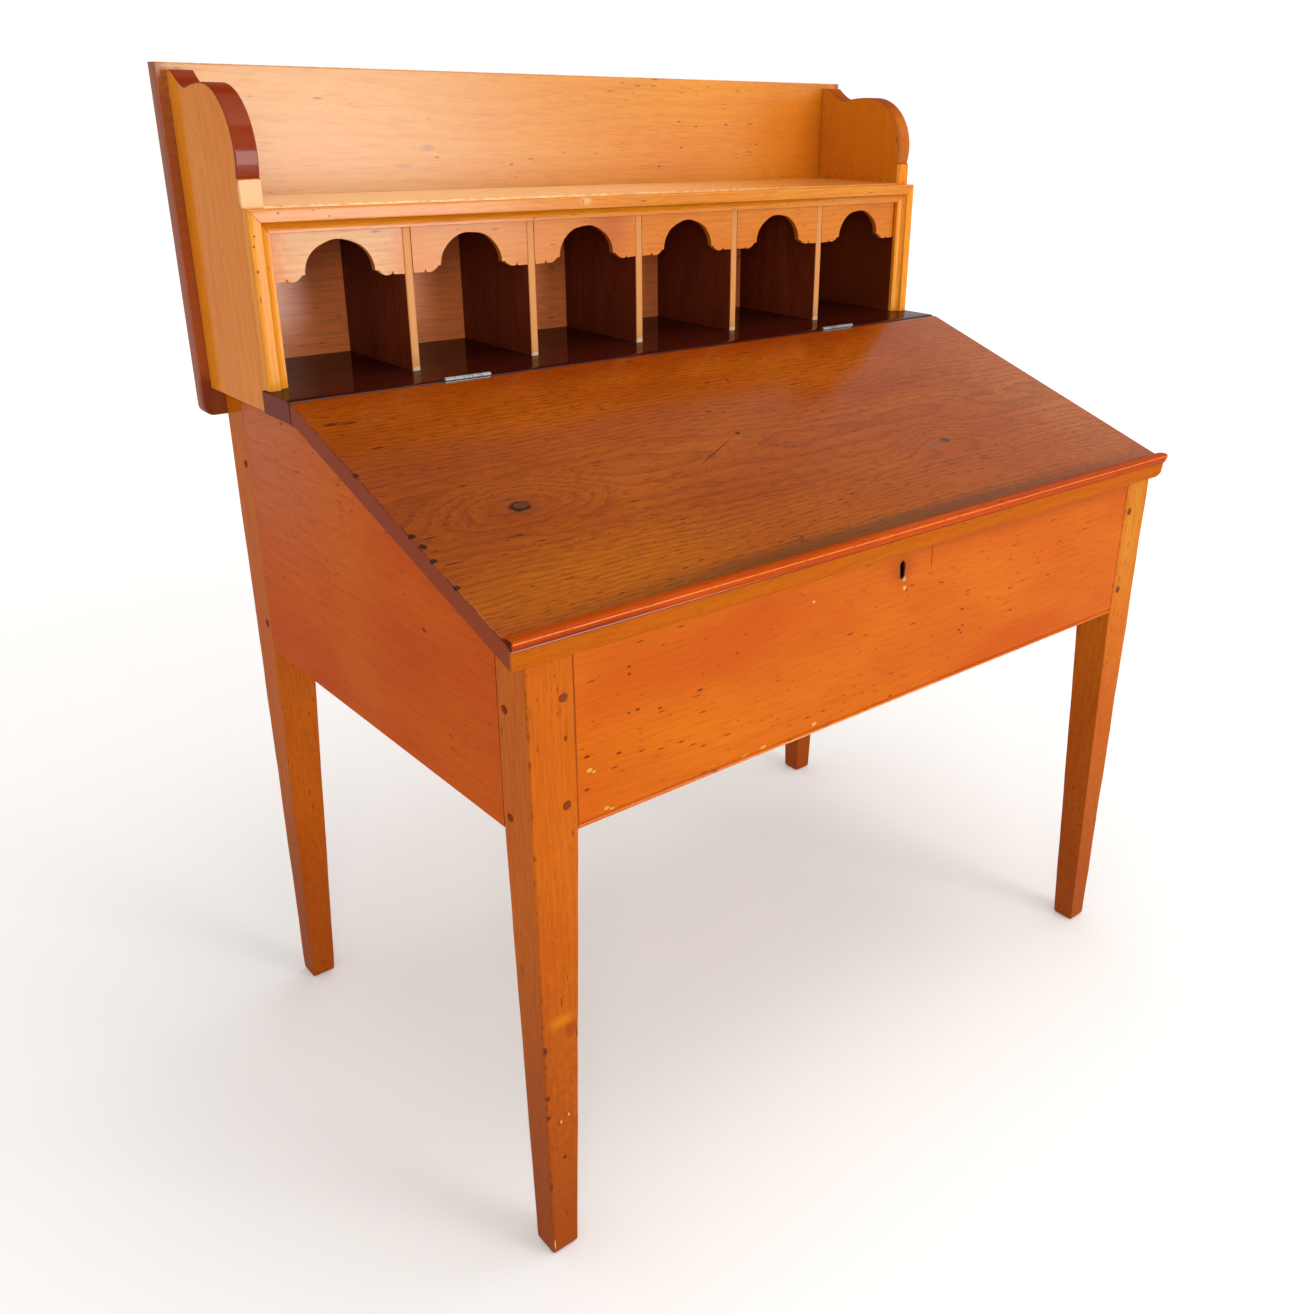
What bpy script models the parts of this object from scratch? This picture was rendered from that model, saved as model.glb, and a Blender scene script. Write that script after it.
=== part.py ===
"""A plantation desk: a pine box on four tapered legs, a sloping lid hinged to a fixed deck, and a gallery of
pigeonholes with scrolled sides. Metres, Z up, front towards -Y, origin on the floor under the middle."""

import math

import bmesh
import bpy
from mathutils import Vector

for old in list(bpy.data.objects):
    bpy.data.objects.remove(old)

# Gap between any two pieces that touch
CLEAR = 0.0003

# Base, measured over the outside of the legs
WIDTH = 1.000
DEPTH = 0.650
LEG = 0.051
FOOT = 0.032
FOOT_CHAMFER = 0.004
LEG_ARRIS = 0.0015
TAPER_DROP = 0.006
APRON_BOTTOM = 0.524
APRON_T = 0.022
APRON_SETBACK = 0.001
PANEL_T = 0.020
BEAD_D = 0.006
QUIRK = 0.0018

# Mortise and tenon joints with two pegs each, so far above the board's lower edge and below the tenon's top
TENON_T = 0.009
TENON_L = 0.032
TENON_FOOT = 0.006
TENON_HEAD = 0.020
TENON_ROOT = 0.006
PEG_D = 0.0085
PEG_L = 0.034
PEG_PROUD = 0.0006
PEG_INSET = 0.012
APRON_PEGS = (0.033, 0.0246)
SIDE_FRONT_PEGS = (0.016, 0.0457)
SIDE_BACK_PEGS = (0.033, 0.067)
BACK_PEGS = (0.050, 0.045)

# Bottom of the box, lying on cleats
BOTTOM_T = 0.012
CLEAT_W = 0.020
CLEAT_T = 0.014

# Deck and lid
DECK_TOP = 0.876
DECK_T = 0.025
HINGE_SETBACK = 0.413
EDGE_GAP = 0.001
BOARD_ARRIS = 0.0012
LID_T = 0.022
LID_SLOPE = math.radians(18.5)
LID_FRONT = 0.007
LID_SIDE = 0.018

# Pencil stop on the lid's front edge
LIP_W = 0.018
LIP_H = 0.008
LIP_NOSE = 0.003
LIP_SWELL = 0.0016

# Butt hinges
HINGE_X = 0.304
HINGE_L = 0.060
LEAF_H = 0.020
LEAF_T = 0.0016
KNUCKLE_D = 0.0064
KNUCKLE_RISE = 0.001
KNUCKLES = 5
HINGE_PIN_D = 0.003

# Box lock behind the apron
LOCK_W = 0.064
LOCK_H = 0.056
LOCK_D = 0.014
LOCK_LET = 0.012
LOCK_UNDER_LID = 0.0015
KEY_INSET = 0.0218
KEY_R = 0.0048
KEY_SLOT = 0.0052
KEY_DROP = 0.015
DRILL_PIN_D = 0.0032
KEY_ROOM = 0.008
BOLT_W = 0.024
BOLT_T = 0.0056
BOLT_H = 0.0125
BOLT_TRAVEL = 0.011
BOLT_ROOM = 0.0015
STRIKE_W = 0.048
STRIKE_L = 0.020
STRIKE_T = 0.002

# Gallery; the pigeonholes stand on the deck, and the sides rise above the shelf over them
GALLERY_OUT = 0.015
GALLERY_SETBACK = 0.4835
GALLERY_RISE = 0.131
SIDE_T = 0.0245
BACK_OUT = 0.0265
BACK_T = 0.020
BACK_RISE = 0.0075
BACK_LAP = 0.033
BACK_CORNER = 0.012
HOLE_H = 0.167
SHELF_T = 0.022
SHELF_HOUSING = 0.006

# Scroll on top of the gallery's sides
SCROLL_FLAT = 0.015
SCOOP_L = 0.034
SCOOP_SAG = 0.003
LOBE_R = 0.070
LOBE_STRETCH = 1.86
LOBE_RISE = 0.1185
FOOT_RISE = 0.0265
SCROLL_STEP = 0.002

# Face moulding: a flat, a cove and an inner fillet
MOULD_W = 0.0250
MOULD_T = 0.014
MOULD_DROP = 0.002
MOULD_FLAT = 0.0135
MOULD_FILLET = 0.002
COVE_QUIRK = 0.0012
COVE_D = 0.0085
COVE_SAG = 0.0022

# Dividers and valances
DIVIDERS = 5
DIVIDER_T = 0.010
DIVIDER_INSET = 0.0008
HOUSING = 0.003
VALANCE_T = 0.008
VALANCE_H = 0.056
ARCH_W = 0.082
SPRING_RISE = 0.0062
ARCH_RISE = 0.0356
EAR_STEP = 0.004
LOBE_W = 0.016
LOBE_DROP = 0.0007
LOBE_SAG = 0.0030
NOTCH_W = 0.0024
NOTCH_H = 0.0036

# Flats that stand for a curve
ROD_SIDES = 12
BARREL_SIDES = 16
KEYHOLE_STEPS = 12
EDGE_STEPS = 6
NOSE_STEPS = 8
REAR_STEPS = 8
LOBE_STEPS = 20
ARCH_STEPS = 12

# Colours of the finishes, as sRGB values, with roughness and metallic
PINE_AMBER = ("#C4691F", 0.22, 0.0)
PINE_SIDE = ("#A9562A", 0.25, 0.0)
PINE_LID = ("#9A4F1C", 0.18, 0.0)
PINE_LIP = ("#B5481C", 0.15, 0.0)
PINE_DECK = ("#5A2110", 0.15, 0.0)
PINE_INNER = ("#6E3418", 0.45, 0.0)
PINE_RAW = ("#A8764A", 0.70, 0.0)
PEG_WOOD = ("#6A2612", 0.40, 0.0)
STEEL = ("#9A958C", 0.35, 1.0)
IRON = ("#4A443E", 0.55, 1.0)

# Where the main planes lie
SIDE_X = WIDTH / 2
NOSE_R = (LIP_H - CLEAR) / 2
NOSE_BACK = NOSE_R - LIP_NOSE
NOSE_UP = NOSE_R + CLEAR
FRONT_REACH = LID_FRONT + NOSE_R - NOSE_BACK * math.cos(LID_SLOPE) + NOSE_UP * math.sin(LID_SLOPE)
BACK_REACH = CLEAR + BACK_T
FRONT_Y = (FRONT_REACH - BACK_REACH - DEPTH) / 2
BACK_Y = FRONT_Y + DEPTH
APRON_Y = FRONT_Y + APRON_SETBACK
HINGE_Y = FRONT_Y + HINGE_SETBACK
LID_FRONT_Y = FRONT_Y - LID_FRONT
DECK_BOTTOM = DECK_TOP - DECK_T
AXIS_Z = DECK_TOP + KNUCKLE_RISE
GALLERY_Y = FRONT_Y + GALLERY_SETBACK
GALLERY_X = SIDE_X + GALLERY_OUT
INNER_X = GALLERY_X - SIDE_T
TOP_HALF = SIDE_X + LID_SIDE
SHELF_BOTTOM = DECK_TOP + HOLE_H
SHELF_TOP = SHELF_BOTTOM + SHELF_T
GALLERY_TOP = SHELF_TOP + GALLERY_RISE
BACK_TOP = GALLERY_TOP + BACK_RISE
LOBE_CREST = SHELF_TOP + LOBE_RISE
SCROLL_FOOT = SHELF_TOP + FOOT_RISE
MOULD_TOP = SHELF_TOP - MOULD_DROP
VALANCE_BOTTOM = SHELF_BOTTOM - VALANCE_H
ARCH_SPRING = VALANCE_BOTTOM + SPRING_RISE
DIVIDER_Y = GALLERY_Y + DIVIDER_INSET
BOTTOM_Z = APRON_BOTTOM + CLEAT_T + CLEAR
PAST = 0.005


def lid_top(y):
    """Height of the lid's upper face, which meets the deck at the hinge line."""
    return DECK_TOP - (HINGE_Y - y) * math.tan(LID_SLOPE)


def lid_under(y):
    """Height of the lid's lower face."""
    return lid_top(y) - LID_T / math.cos(LID_SLOPE)


def base_top(y):
    """Height of the box's upper edge: along the lid's slope, then level under the deck."""
    return min(lid_under(y), DECK_BOTTOM) - CLEAR


def rectangle(u_range, v_range):
    (u0, u1), (v0, v1) = u_range, v_range
    return [(u0, v0), (u1, v0), (u1, v1), (u0, v1)]


def arc(centre, radius, start, stop, steps, stretch=1.0):
    """Points on a circle between two angles in degrees, or on an ellipse that is stretched sideways."""
    points = []
    for i in range(steps + 1):
        angle = math.radians(start + (stop - start) * i / steps)
        points.append((centre[0] + stretch * radius * math.cos(angle), centre[1] + radius * math.sin(angle)))
    return points


def bow(start, stop, sag, steps):
    """Points on the circular arc from start to stop that bulges by sag to the left of that direction."""
    a, b = Vector(start), Vector(stop)
    chord = b - a
    half = chord.length / 2
    radius = (half * half + sag * sag) / (2 * abs(sag))
    left = Vector((-chord.y, chord.x)).normalized() * math.copysign(1, sag)
    centre = (a + b) / 2 + left * (abs(sag) - radius)
    spread = math.asin(half / radius)
    points = []
    for i in range(steps + 1):
        turn = spread * (2 * i / steps - 1)
        points.append(tuple(centre + radius * (left * math.cos(turn) + chord.normalized() * math.sin(turn))))
    return points


def slab(outline, axis, start, stop):
    """A closed outline on the plane across one axis, carried along it. An end may depend on the point."""
    bm = bmesh.new()
    place = "XYZ".index(axis)
    rings = []
    for end in (start, stop):
        ring = []
        for u, v in outline:
            point = [u, v]
            point.insert(place, end(u, v) if callable(end) else end)
            ring.append(bm.verts.new(point))
        rings.append(ring)
        bm.faces.new(ring)
    low, high = rings
    for i in range(len(outline)):
        bm.faces.new((low[i - 1], low[i], high[i], high[i - 1]))
    return bm


def block(x_range, y_range, z_range):
    return slab(rectangle(x_range, y_range), "Z", *z_range)


def rod(axis, centre, diameter, start, stop, sides=ROD_SIDES):
    return slab(arc(centre, diameter / 2, 0, 360 - 360 / sides, sides - 1), axis, start, stop)


def loft(rings):
    """Rings of four points, joined one above the other and closed at both ends."""
    bm = bmesh.new()
    loops = [[bm.verts.new(point) for point in ring] for ring in rings]
    bm.faces.new(loops[0])
    bm.faces.new(loops[-1])
    for below, above in zip(loops, loops[1:]):
        for i in range(len(below)):
            bm.faces.new((below[i - 1], below[i], above[i], above[i - 1]))
    return bm


def make(name, bm, origin, parent):
    """A mesh drawn in the desk's coordinates becomes an object with its own origin."""
    bmesh.ops.recalc_face_normals(bm, faces=bm.faces)
    bmesh.ops.translate(bm, verts=bm.verts, vec=-origin)
    mesh = bpy.data.meshes.new(name)
    bm.to_mesh(mesh)
    bm.free()
    made = bpy.data.objects.new(name, mesh)
    bpy.context.scene.collection.objects.link(made)
    made.parent = parent
    made.location = origin - parent.location
    return made


def piece(name, bm, look, parent, origin=None):
    """One piece of the desk with its own material. Its origin is its middle unless a joint sets it."""
    colour, roughness, metallic = look
    if origin is None:
        corners = [[pick(v.co[i] for v in bm.verts) for i in range(3)] for pick in (min, max)]
        origin = (Vector(corners[0]) + Vector(corners[1])) / 2
    made = make(name, bm, origin, parent)
    material = bpy.data.materials.new(name)
    material.use_nodes = True
    shader = material.node_tree.nodes["Principled BSDF"]
    red, green, blue = (int(colour[i : i + 2], 16) / 255 for i in (1, 3, 5))
    shader.inputs["Base Color"].default_value = (red**2.2, green**2.2, blue**2.2, 1)
    shader.inputs["Roughness"].default_value = roughness
    shader.inputs["Metallic"].default_value = metallic
    made.data.materials.append(material)
    return made


def ease(made, width):
    """The arrises of a board, taken off with a plane."""
    bevel = made.modifiers.new("arris", "BEVEL")
    bevel.width = width
    bevel.segments = 1
    bevel.limit_method = "ANGLE"


def shape(made, bm, operation):
    """Cuts a tool's shape out of a piece, or joins it on."""
    tool = make(f"tool_{made.name}", bm, Vector((0, 0, 0)), DESK)
    tool.hide_render = True
    tool.display_type = "WIRE"
    change = made.modifiers.new("shape", "BOOLEAN")
    change.operation = operation
    change.solver = "EXACT"
    change.object = tool


def cut(made, *tools):
    for tool in tools:
        shape(made, tool, "DIFFERENCE")


def join(made, *tools):
    for tool in tools:
        shape(made, tool, "UNION")


DESK = bpy.data.objects.new("desk", None)
bpy.context.scene.collection.objects.link(DESK)
LID_AXIS = bpy.data.objects.new("lid_axis", None)
bpy.context.scene.collection.objects.link(LID_AXIS)
LID_AXIS.parent = DESK
LID_AXIS.location = (0, HINGE_Y, AXIS_Z)

SIDES = {"left": -1, "right": 1}
ENDS = {"front": -1, "back": 1}


# Tenons, their mortises and the pegs through them

APRON_MID_Y = APRON_Y + APRON_T / 2
BACK_MID_Y = BACK_Y - PANEL_T / 2
TENON_LOW = APRON_BOTTOM + TENON_FOOT
BACK_TENON_HIGH = DECK_BOTTOM - TENON_HEAD
CROSS_TENON_HIGH = {"front": base_top(APRON_Y) - TENON_HEAD, "back": BACK_TENON_HIGH}
SIDE_TENON_HIGH = {"front": base_top(FRONT_Y + LEG - TENON_L) - TENON_HEAD, "back": BACK_TENON_HIGH}


def cross_tenon(end, side, slack=0.0):
    """Tenon of the apron or the back panel in a leg; with slack, the mortise that takes it."""
    middle = APRON_MID_Y if end == "front" else BACK_MID_Y
    shoulder = SIDE_X - LEG
    reach = sorted(SIDES[side] * x for x in (shoulder - TENON_ROOT, shoulder + TENON_L + slack))
    half = TENON_T / 2 + slack
    return block(reach, (middle - half, middle + half), (TENON_LOW - slack, CROSS_TENON_HIGH[end] + slack))


def side_tenon(end, side, slack=0.0):
    """Tenon of a side panel in a leg; with slack, the mortise that takes it."""
    middle = SIDES[side] * (SIDE_X - PANEL_T / 2)
    half = TENON_T / 2 + slack
    corner = FRONT_Y if end == "front" else BACK_Y
    inwards = -ENDS[end]
    shoulder = corner + inwards * LEG
    reach = sorted((shoulder + inwards * TENON_ROOT, shoulder - inwards * (TENON_L + slack)))
    return block((middle - half, middle + half), reach, (TENON_LOW - slack, SIDE_TENON_HIGH[end] + slack))


def cross_peg(end, side, z, slack=0.0, out=PEG_PROUD):
    """Peg driven along Y through a leg and the apron's or back panel's tenon; with slack, its hole."""
    x = SIDES[side] * (SIDE_X - LEG + PEG_INSET)
    face = FRONT_Y if end == "front" else BACK_Y
    inwards = -ENDS[end]
    reach = sorted((face - inwards * out, face + inwards * (PEG_L + slack)))
    return rod("Y", (x, z), PEG_D + 2 * slack, *reach)


def side_peg(end, side, z, slack=0.0, out=PEG_PROUD):
    """Peg driven along X through a leg and a side panel's tenon; with slack, its hole."""
    corner = FRONT_Y if end == "front" else BACK_Y
    y = corner - ENDS[end] * (LEG - PEG_INSET)
    reach = sorted(SIDES[side] * x for x in (SIDE_X + out, SIDE_X - PEG_L - slack))
    return rod("X", (y, z), PEG_D + 2 * slack, *reach)


def peg_heights(insets, tenon_high):
    low, high = insets
    return APRON_BOTTOM + low, tenon_high - high


CROSS_PEGS = {end: peg_heights(pegs, CROSS_TENON_HIGH[end]) for end, pegs in
              (("front", APRON_PEGS), ("back", BACK_PEGS))}
SIDE_PEGS = {end: peg_heights(pegs, SIDE_TENON_HIGH[end]) for end, pegs in
             (("front", SIDE_FRONT_PEGS), ("back", SIDE_BACK_PEGS))}


# Legs

def leg(end, side):
    """A square post, tapered on its two inner faces below the box, its foot worn round."""
    outer_x = SIDES[side] * SIDE_X
    outer_y = FRONT_Y if end == "front" else BACK_Y
    stations = (
        (0, FOOT_CHAMFER, FOOT - FOOT_CHAMFER),
        (FOOT_CHAMFER, 0, FOOT),
        (APRON_BOTTOM - TAPER_DROP, 0, LEG),
        (None, 0, LEG),
    )
    rings = []
    for z, near, far in stations:
        ring = []
        for u, v in ((near, near), (far, near), (far, far), (near, far)):
            y = outer_y - ENDS[end] * v
            ring.append((outer_x - SIDES[side] * u, y, base_top(y) if z is None else z))
        rings.append(ring)
    made = piece(f"leg_{end}_{side}", loft(rings), PINE_AMBER, DESK, Vector((outer_x, outer_y, 0)))
    ease(made, LEG_ARRIS)
    cut(made, cross_tenon(end, side, CLEAR), side_tenon(end, side, CLEAR))
    cut(made, *(cross_peg(end, side, z, CLEAR, PAST) for z in CROSS_PEGS[end]))
    cut(made, *(side_peg(end, side, z, CLEAR, PAST) for z in SIDE_PEGS[end]))


for end in ENDS:
    for side in SIDES:
        leg(end, side)


# Front apron, with a bead along its lower edge and a keyhole

SHOULDER_X = SIDE_X - LEG - CLEAR
LOCK_Y = APRON_Y + APRON_T - LOCK_LET
LOCK_TOP = lid_under(LOCK_Y) - LOCK_UNDER_LID
LOCK_BOTTOM = LOCK_TOP - LOCK_H
KEY_Z = LOCK_TOP - KEY_INSET


def keyhole(start, stop):
    """A round hole for the key's barrel over a slot for its bit, along Y."""
    open_angle = math.degrees(math.asin(KEY_SLOT / 2 / KEY_R))
    outline = arc((0, KEY_Z), KEY_R, open_angle - 90, 270 - open_angle, KEYHOLE_STEPS)
    outline += [(-KEY_SLOT / 2, KEY_Z - KEY_DROP), (KEY_SLOT / 2, KEY_Z - KEY_DROP)]
    return slab(outline, "Y", start, stop)



def apron():
    radius = BEAD_D / 2
    inner = APRON_Y + APRON_T
    bead = arc((APRON_Y + radius, APRON_BOTTOM + radius), radius, 120, 270, EDGE_STEPS)
    outline = [
        (inner, APRON_BOTTOM),
        (inner, base_top(inner)),
        (APRON_Y, base_top(APRON_Y)),
        (APRON_Y, APRON_BOTTOM + BEAD_D + QUIRK),
        (APRON_Y + QUIRK, APRON_BOTTOM + BEAD_D),
        *bead,
    ]
    made = piece("front_apron", slab(outline, "X", -SHOULDER_X, SHOULDER_X), PINE_AMBER, DESK)
    join(made, *(cross_tenon("front", side) for side in SIDES))
    cut(made, *(cross_peg("front", side, z, CLEAR, PAST) for side in SIDES for z in CROSS_PEGS["front"]))
    half = LOCK_W / 2 + CLEAR
    cut(made, block((-half, half), (LOCK_Y, inner + PAST), (LOCK_BOTTOM - CLEAR, LOCK_TOP + LOCK_H)))
    cut(made, keyhole(APRON_Y - PAST, inner))


apron()


# Side panels and back panel

def side_panel(side):
    """A board whose upper edge follows the lid and then runs level under the deck."""
    front = FRONT_Y + LEG + CLEAR
    back = BACK_Y - LEG - CLEAR
    level = HINGE_Y - (lid_under(HINGE_Y) - DECK_BOTTOM) / math.tan(LID_SLOPE)
    outline = [
        (front, APRON_BOTTOM),
        (back, APRON_BOTTOM),
        (back, base_top(back)),
        (level, base_top(level)),
        (front, base_top(front)),
    ]
    reach = sorted(SIDES[side] * x for x in (SIDE_X, SIDE_X - PANEL_T))
    made = piece(f"side_panel_{side}", slab(outline, "X", *reach), PINE_SIDE, DESK)
    for end in ENDS:
        join(made, side_tenon(end, side))
        cut(made, *(side_peg(end, side, z, CLEAR, PAST) for z in SIDE_PEGS[end]))


for side in SIDES:
    side_panel(side)

back_panel = piece(
    "back_panel",
    block((-SHOULDER_X, SHOULDER_X), (BACK_Y - PANEL_T, BACK_Y), (APRON_BOTTOM, DECK_BOTTOM - CLEAR)),
    PINE_SIDE,
    DESK,
)
for side in SIDES:
    join(back_panel, cross_tenon("back", side))
    cut(back_panel, *(cross_peg("back", side, z, CLEAR, PAST) for z in CROSS_PEGS["back"]))

for side in SIDES:
    for end in ENDS:
        for mark, z in zip(("low", "high"), CROSS_PEGS[end]):
            piece(f"peg_{end}_{side}_{mark}", cross_peg(end, side, z), PEG_WOOD, DESK)
        for mark, z in zip(("low", "high"), SIDE_PEGS[end]):
            piece(f"peg_side_{end}_{side}_{mark}", side_peg(end, side, z), PEG_WOOD, DESK)


# Bottom board, notched round the legs, on cleats along the four sides

def bottom():
    edge_x = SIDE_X - PANEL_T - CLEAR
    front = APRON_Y + APRON_T + CLEAR
    back = BACK_Y - PANEL_T - CLEAR
    notch_x = SIDE_X - LEG - CLEAR
    notch_front = FRONT_Y + LEG + CLEAR
    notch_back = BACK_Y - LEG - CLEAR
    right = [
        (notch_x, front),
        (notch_x, notch_front),
        (edge_x, notch_front),
        (edge_x, notch_back),
        (notch_x, notch_back),
        (notch_x, back),
    ]
    outline = right + [(-x, y) for x, y in reversed(right)]
    piece("case_bottom", slab(outline, "Z", BOTTOM_Z, BOTTOM_Z + BOTTOM_T), PINE_RAW, DESK)
    heights = (APRON_BOTTOM, BOTTOM_Z - CLEAR)
    for side in SIDES:
        reach = sorted(SIDES[side] * x for x in (edge_x, edge_x - CLEAT_W))
        piece(f"cleat_{side}", block(reach, (notch_front, notch_back), heights), PINE_RAW, DESK)
    for end, near in (("front", front), ("back", back)):
        reach = sorted((near, near - ENDS[end] * CLEAT_W))
        piece(f"cleat_{end}", block((-notch_x, notch_x), reach, heights), PINE_RAW, DESK)


bottom()


# Deck, its front strip as wide as the lid, the rest between the gallery's sides

INNER_WIDTH = 2 * INNER_X
OPENING = (INNER_WIDTH - DIVIDERS * DIVIDER_T) / (DIVIDERS + 1)
DIVIDER_XS = [-INNER_X + (OPENING + DIVIDER_T) * (i + 1) - DIVIDER_T / 2 for i in range(DIVIDERS)]


def divider(x, slack=0.0):
    """An upright housed in the deck and in the shelf; with slack, its two grooves."""
    half = DIVIDER_T / 2 + slack
    low = DECK_TOP - HOUSING + CLEAR - slack
    high = SHELF_BOTTOM + HOUSING - CLEAR + slack
    return block((x - half, x + half), (DIVIDER_Y - slack, BACK_Y - CLEAR + slack), (low, high))


def hinge_mortises(x):
    """The pockets that one hinge needs in the two boards: its leaves and the barrel's hollow."""
    half = HINGE_L / 2 + CLEAR
    depth = CLEAR / 2 + LEAF_T + CLEAR
    foot = DECK_TOP - LEAF_H - CLEAR
    pocket = block((x - half, x + half), (HINGE_Y - depth, HINGE_Y + depth), (foot, AXIS_Z))
    hollow = rod("X", (HINGE_Y, AXIS_Z), KNUCKLE_D + 2 * CLEAR, x - half, x + half, BARREL_SIDES)
    return pocket, hollow


HINGE_XS = {"left": -HINGE_X, "right": HINGE_X}


def deck():
    front = HINGE_Y + EDGE_GAP / 2
    step = GALLERY_Y - CLEAR
    inner = INNER_X - CLEAR
    right = [(TOP_HALF, front), (TOP_HALF, step), (inner, step), (inner, BACK_Y)]
    outline = right + [(-x, y) for x, y in reversed(right)]
    made = piece("deck", slab(outline, "Z", DECK_BOTTOM, DECK_TOP), PINE_DECK, DESK)
    cut(made, *(divider(x, CLEAR) for x in DIVIDER_XS))
    for x in HINGE_XS.values():
        cut(made, *hinge_mortises(x))


deck()


# Lid and its pencil stop

def bolt_shape(raised=0.0, slack=0.0):
    """The lock's bolt; raised and with slack, the room that it needs in the lid."""
    middle = LOCK_Y + CLEAR + LOCK_D / 2
    half_x = BOLT_W / 2 + slack
    half_y = BOLT_T / 2 + slack
    top = LOCK_TOP - CLEAR
    return block((-half_x, half_x), (middle - half_y, middle + half_y), (top - BOLT_H, top + raised + slack))


def strike_shape(slack=0.0):
    """A thin plate let into the lid's lower face over the bolt."""
    middle = LOCK_Y + CLEAR + LOCK_D / 2
    y_range = (middle - STRIKE_L / 2 - slack, middle + STRIKE_L / 2 + slack)
    below = PAST if slack else 0
    deep = (STRIKE_T + slack) / math.cos(LID_SLOPE)
    outline = [(y, lid_under(y) - below) for y in y_range]
    outline += [(y, lid_under(y) + deep) for y in reversed(y_range)]
    half = STRIKE_W / 2 + slack
    return slab(outline, "X", -half, half)


def lid():
    back = HINGE_Y - EDGE_GAP / 2
    outline = [
        (LID_FRONT_Y, lid_under(LID_FRONT_Y)),
        (back, lid_under(back)),
        (back, lid_top(back)),
        (LID_FRONT_Y, lid_top(LID_FRONT_Y)),
    ]
    made = piece("lid", slab(outline, "X", -TOP_HALF, TOP_HALF), PINE_LID, LID_AXIS, LID_AXIS.location)
    ease(made, BOARD_ARRIS)
    for x in HINGE_XS.values():
        cut(made, *hinge_mortises(x))
    cut(made, strike_shape(CLEAR), bolt_shape(BOLT_TRAVEL, BOLT_ROOM))


def on_lid(back, up):
    """The point that lies so far up the slope from the lid's front edge and so far above its face."""
    y = LID_FRONT_Y + back * math.cos(LID_SLOPE) - up * math.sin(LID_SLOPE)
    z = lid_top(LID_FRONT_Y) + back * math.sin(LID_SLOPE) + up * math.cos(LID_SLOPE)
    return y, z


def lip():
    """A rounded strip: a short nose over the lid's edge, a crest, and a long fall towards the hinge."""
    nose = arc((NOSE_BACK, NOSE_UP), NOSE_R, 270, 90, NOSE_STEPS)
    fall = bow((NOSE_BACK, LIP_H), (LIP_W - LIP_NOSE, CLEAR), LIP_SWELL, EDGE_STEPS)
    outline = [on_lid(back, up) for back, up in nose + fall[1:]]
    made = piece("lid_lip", slab(outline, "X", -TOP_HALF, TOP_HALF), PINE_LIP, LID_AXIS, LID_AXIS.location)
    made.data.shade_smooth()
    made.data.set_sharp_from_angle(angle=math.radians(40))


lid()
lip()


# Butt hinges: a leaf in each board, its knuckles taking turns along one pin

def leaf(name, x, facing, turns, parent):
    """One leaf, with its plate in the board's edge and its own knuckles round the pin."""
    near = facing * CLEAR / 2
    far = facing * (CLEAR / 2 + LEAF_T)
    plate_y = sorted((HINGE_Y + near, HINGE_Y + far))
    plate_top = AXIS_Z - KNUCKLE_D / 2 - 2 * CLEAR
    plate = block((x - HINGE_L / 2, x + HINGE_L / 2), plate_y, (DECK_TOP - LEAF_H, plate_top))
    made = piece(name, plate, STEEL, parent, Vector((x, HINGE_Y, AXIS_Z)))
    pitch = HINGE_L / KNUCKLES
    for i in turns:
        start = x - HINGE_L / 2 + pitch * i + (CLEAR / 2 if i else 0)
        stop = x - HINGE_L / 2 + pitch * (i + 1) - (CLEAR / 2 if i < KNUCKLES - 1 else 0)
        join(made, block((start, stop), plate_y, (plate_top - LEAF_T, AXIS_Z)))
        join(made, rod("X", (HINGE_Y, AXIS_Z), KNUCKLE_D, start, stop, BARREL_SIDES))
    cut(made, rod("X", (HINGE_Y, AXIS_Z), HINGE_PIN_D + 2 * CLEAR, x - HINGE_L, x + HINGE_L))


for side, x in HINGE_XS.items():
    leaf(f"hinge_{side}_deck_leaf", x, 1, range(0, KNUCKLES, 2), DESK)
    leaf(f"hinge_{side}_lid_leaf", x, -1, range(1, KNUCKLES, 2), LID_AXIS)
    pin = rod("X", (HINGE_Y, AXIS_Z), HINGE_PIN_D, x - HINGE_L / 2, x + HINGE_L / 2)
    piece(f"hinge_{side}_pin", pin, STEEL, DESK)


# Box lock let into the apron: case with drill pin, rising bolt, and the strike in the lid

def lock():
    near = LOCK_Y + CLEAR
    far = near + LOCK_D
    middle = (near + far) / 2
    room_y = (middle - BOLT_T / 2 - CLEAR, middle + BOLT_T / 2 + CLEAR)
    ledge = LOCK_TOP - CLEAR - BOLT_H - CLEAR
    half = LOCK_W / 2
    case = piece("lock_case", block((-half, half), (near, far), (LOCK_BOTTOM, LOCK_TOP)), IRON, DESK)
    bolt_half = BOLT_W / 2 + CLEAR
    key_bottom = KEY_Z - KEY_DROP - CLEAR
    cut(case, block((-bolt_half, bolt_half), room_y, (ledge, LOCK_TOP + PAST)))
    cut(case, block((-KEY_ROOM, KEY_ROOM), room_y, (key_bottom, ledge + PAST / 2)))
    cut(case, keyhole(near - PAST, middle))
    join(case, rod("Y", (0, KEY_Z), DRILL_PIN_D, near + CLEAR, far - CLEAR))
    piece("lock_bolt", bolt_shape(), STEEL, DESK)
    strike = piece("lid_strike", strike_shape(), STEEL, LID_AXIS, LID_AXIS.location)
    cut(strike, bolt_shape(BOLT_TRAVEL, BOLT_ROOM))


lock()


# Gallery: scrolled sides, back board and shelf

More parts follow.
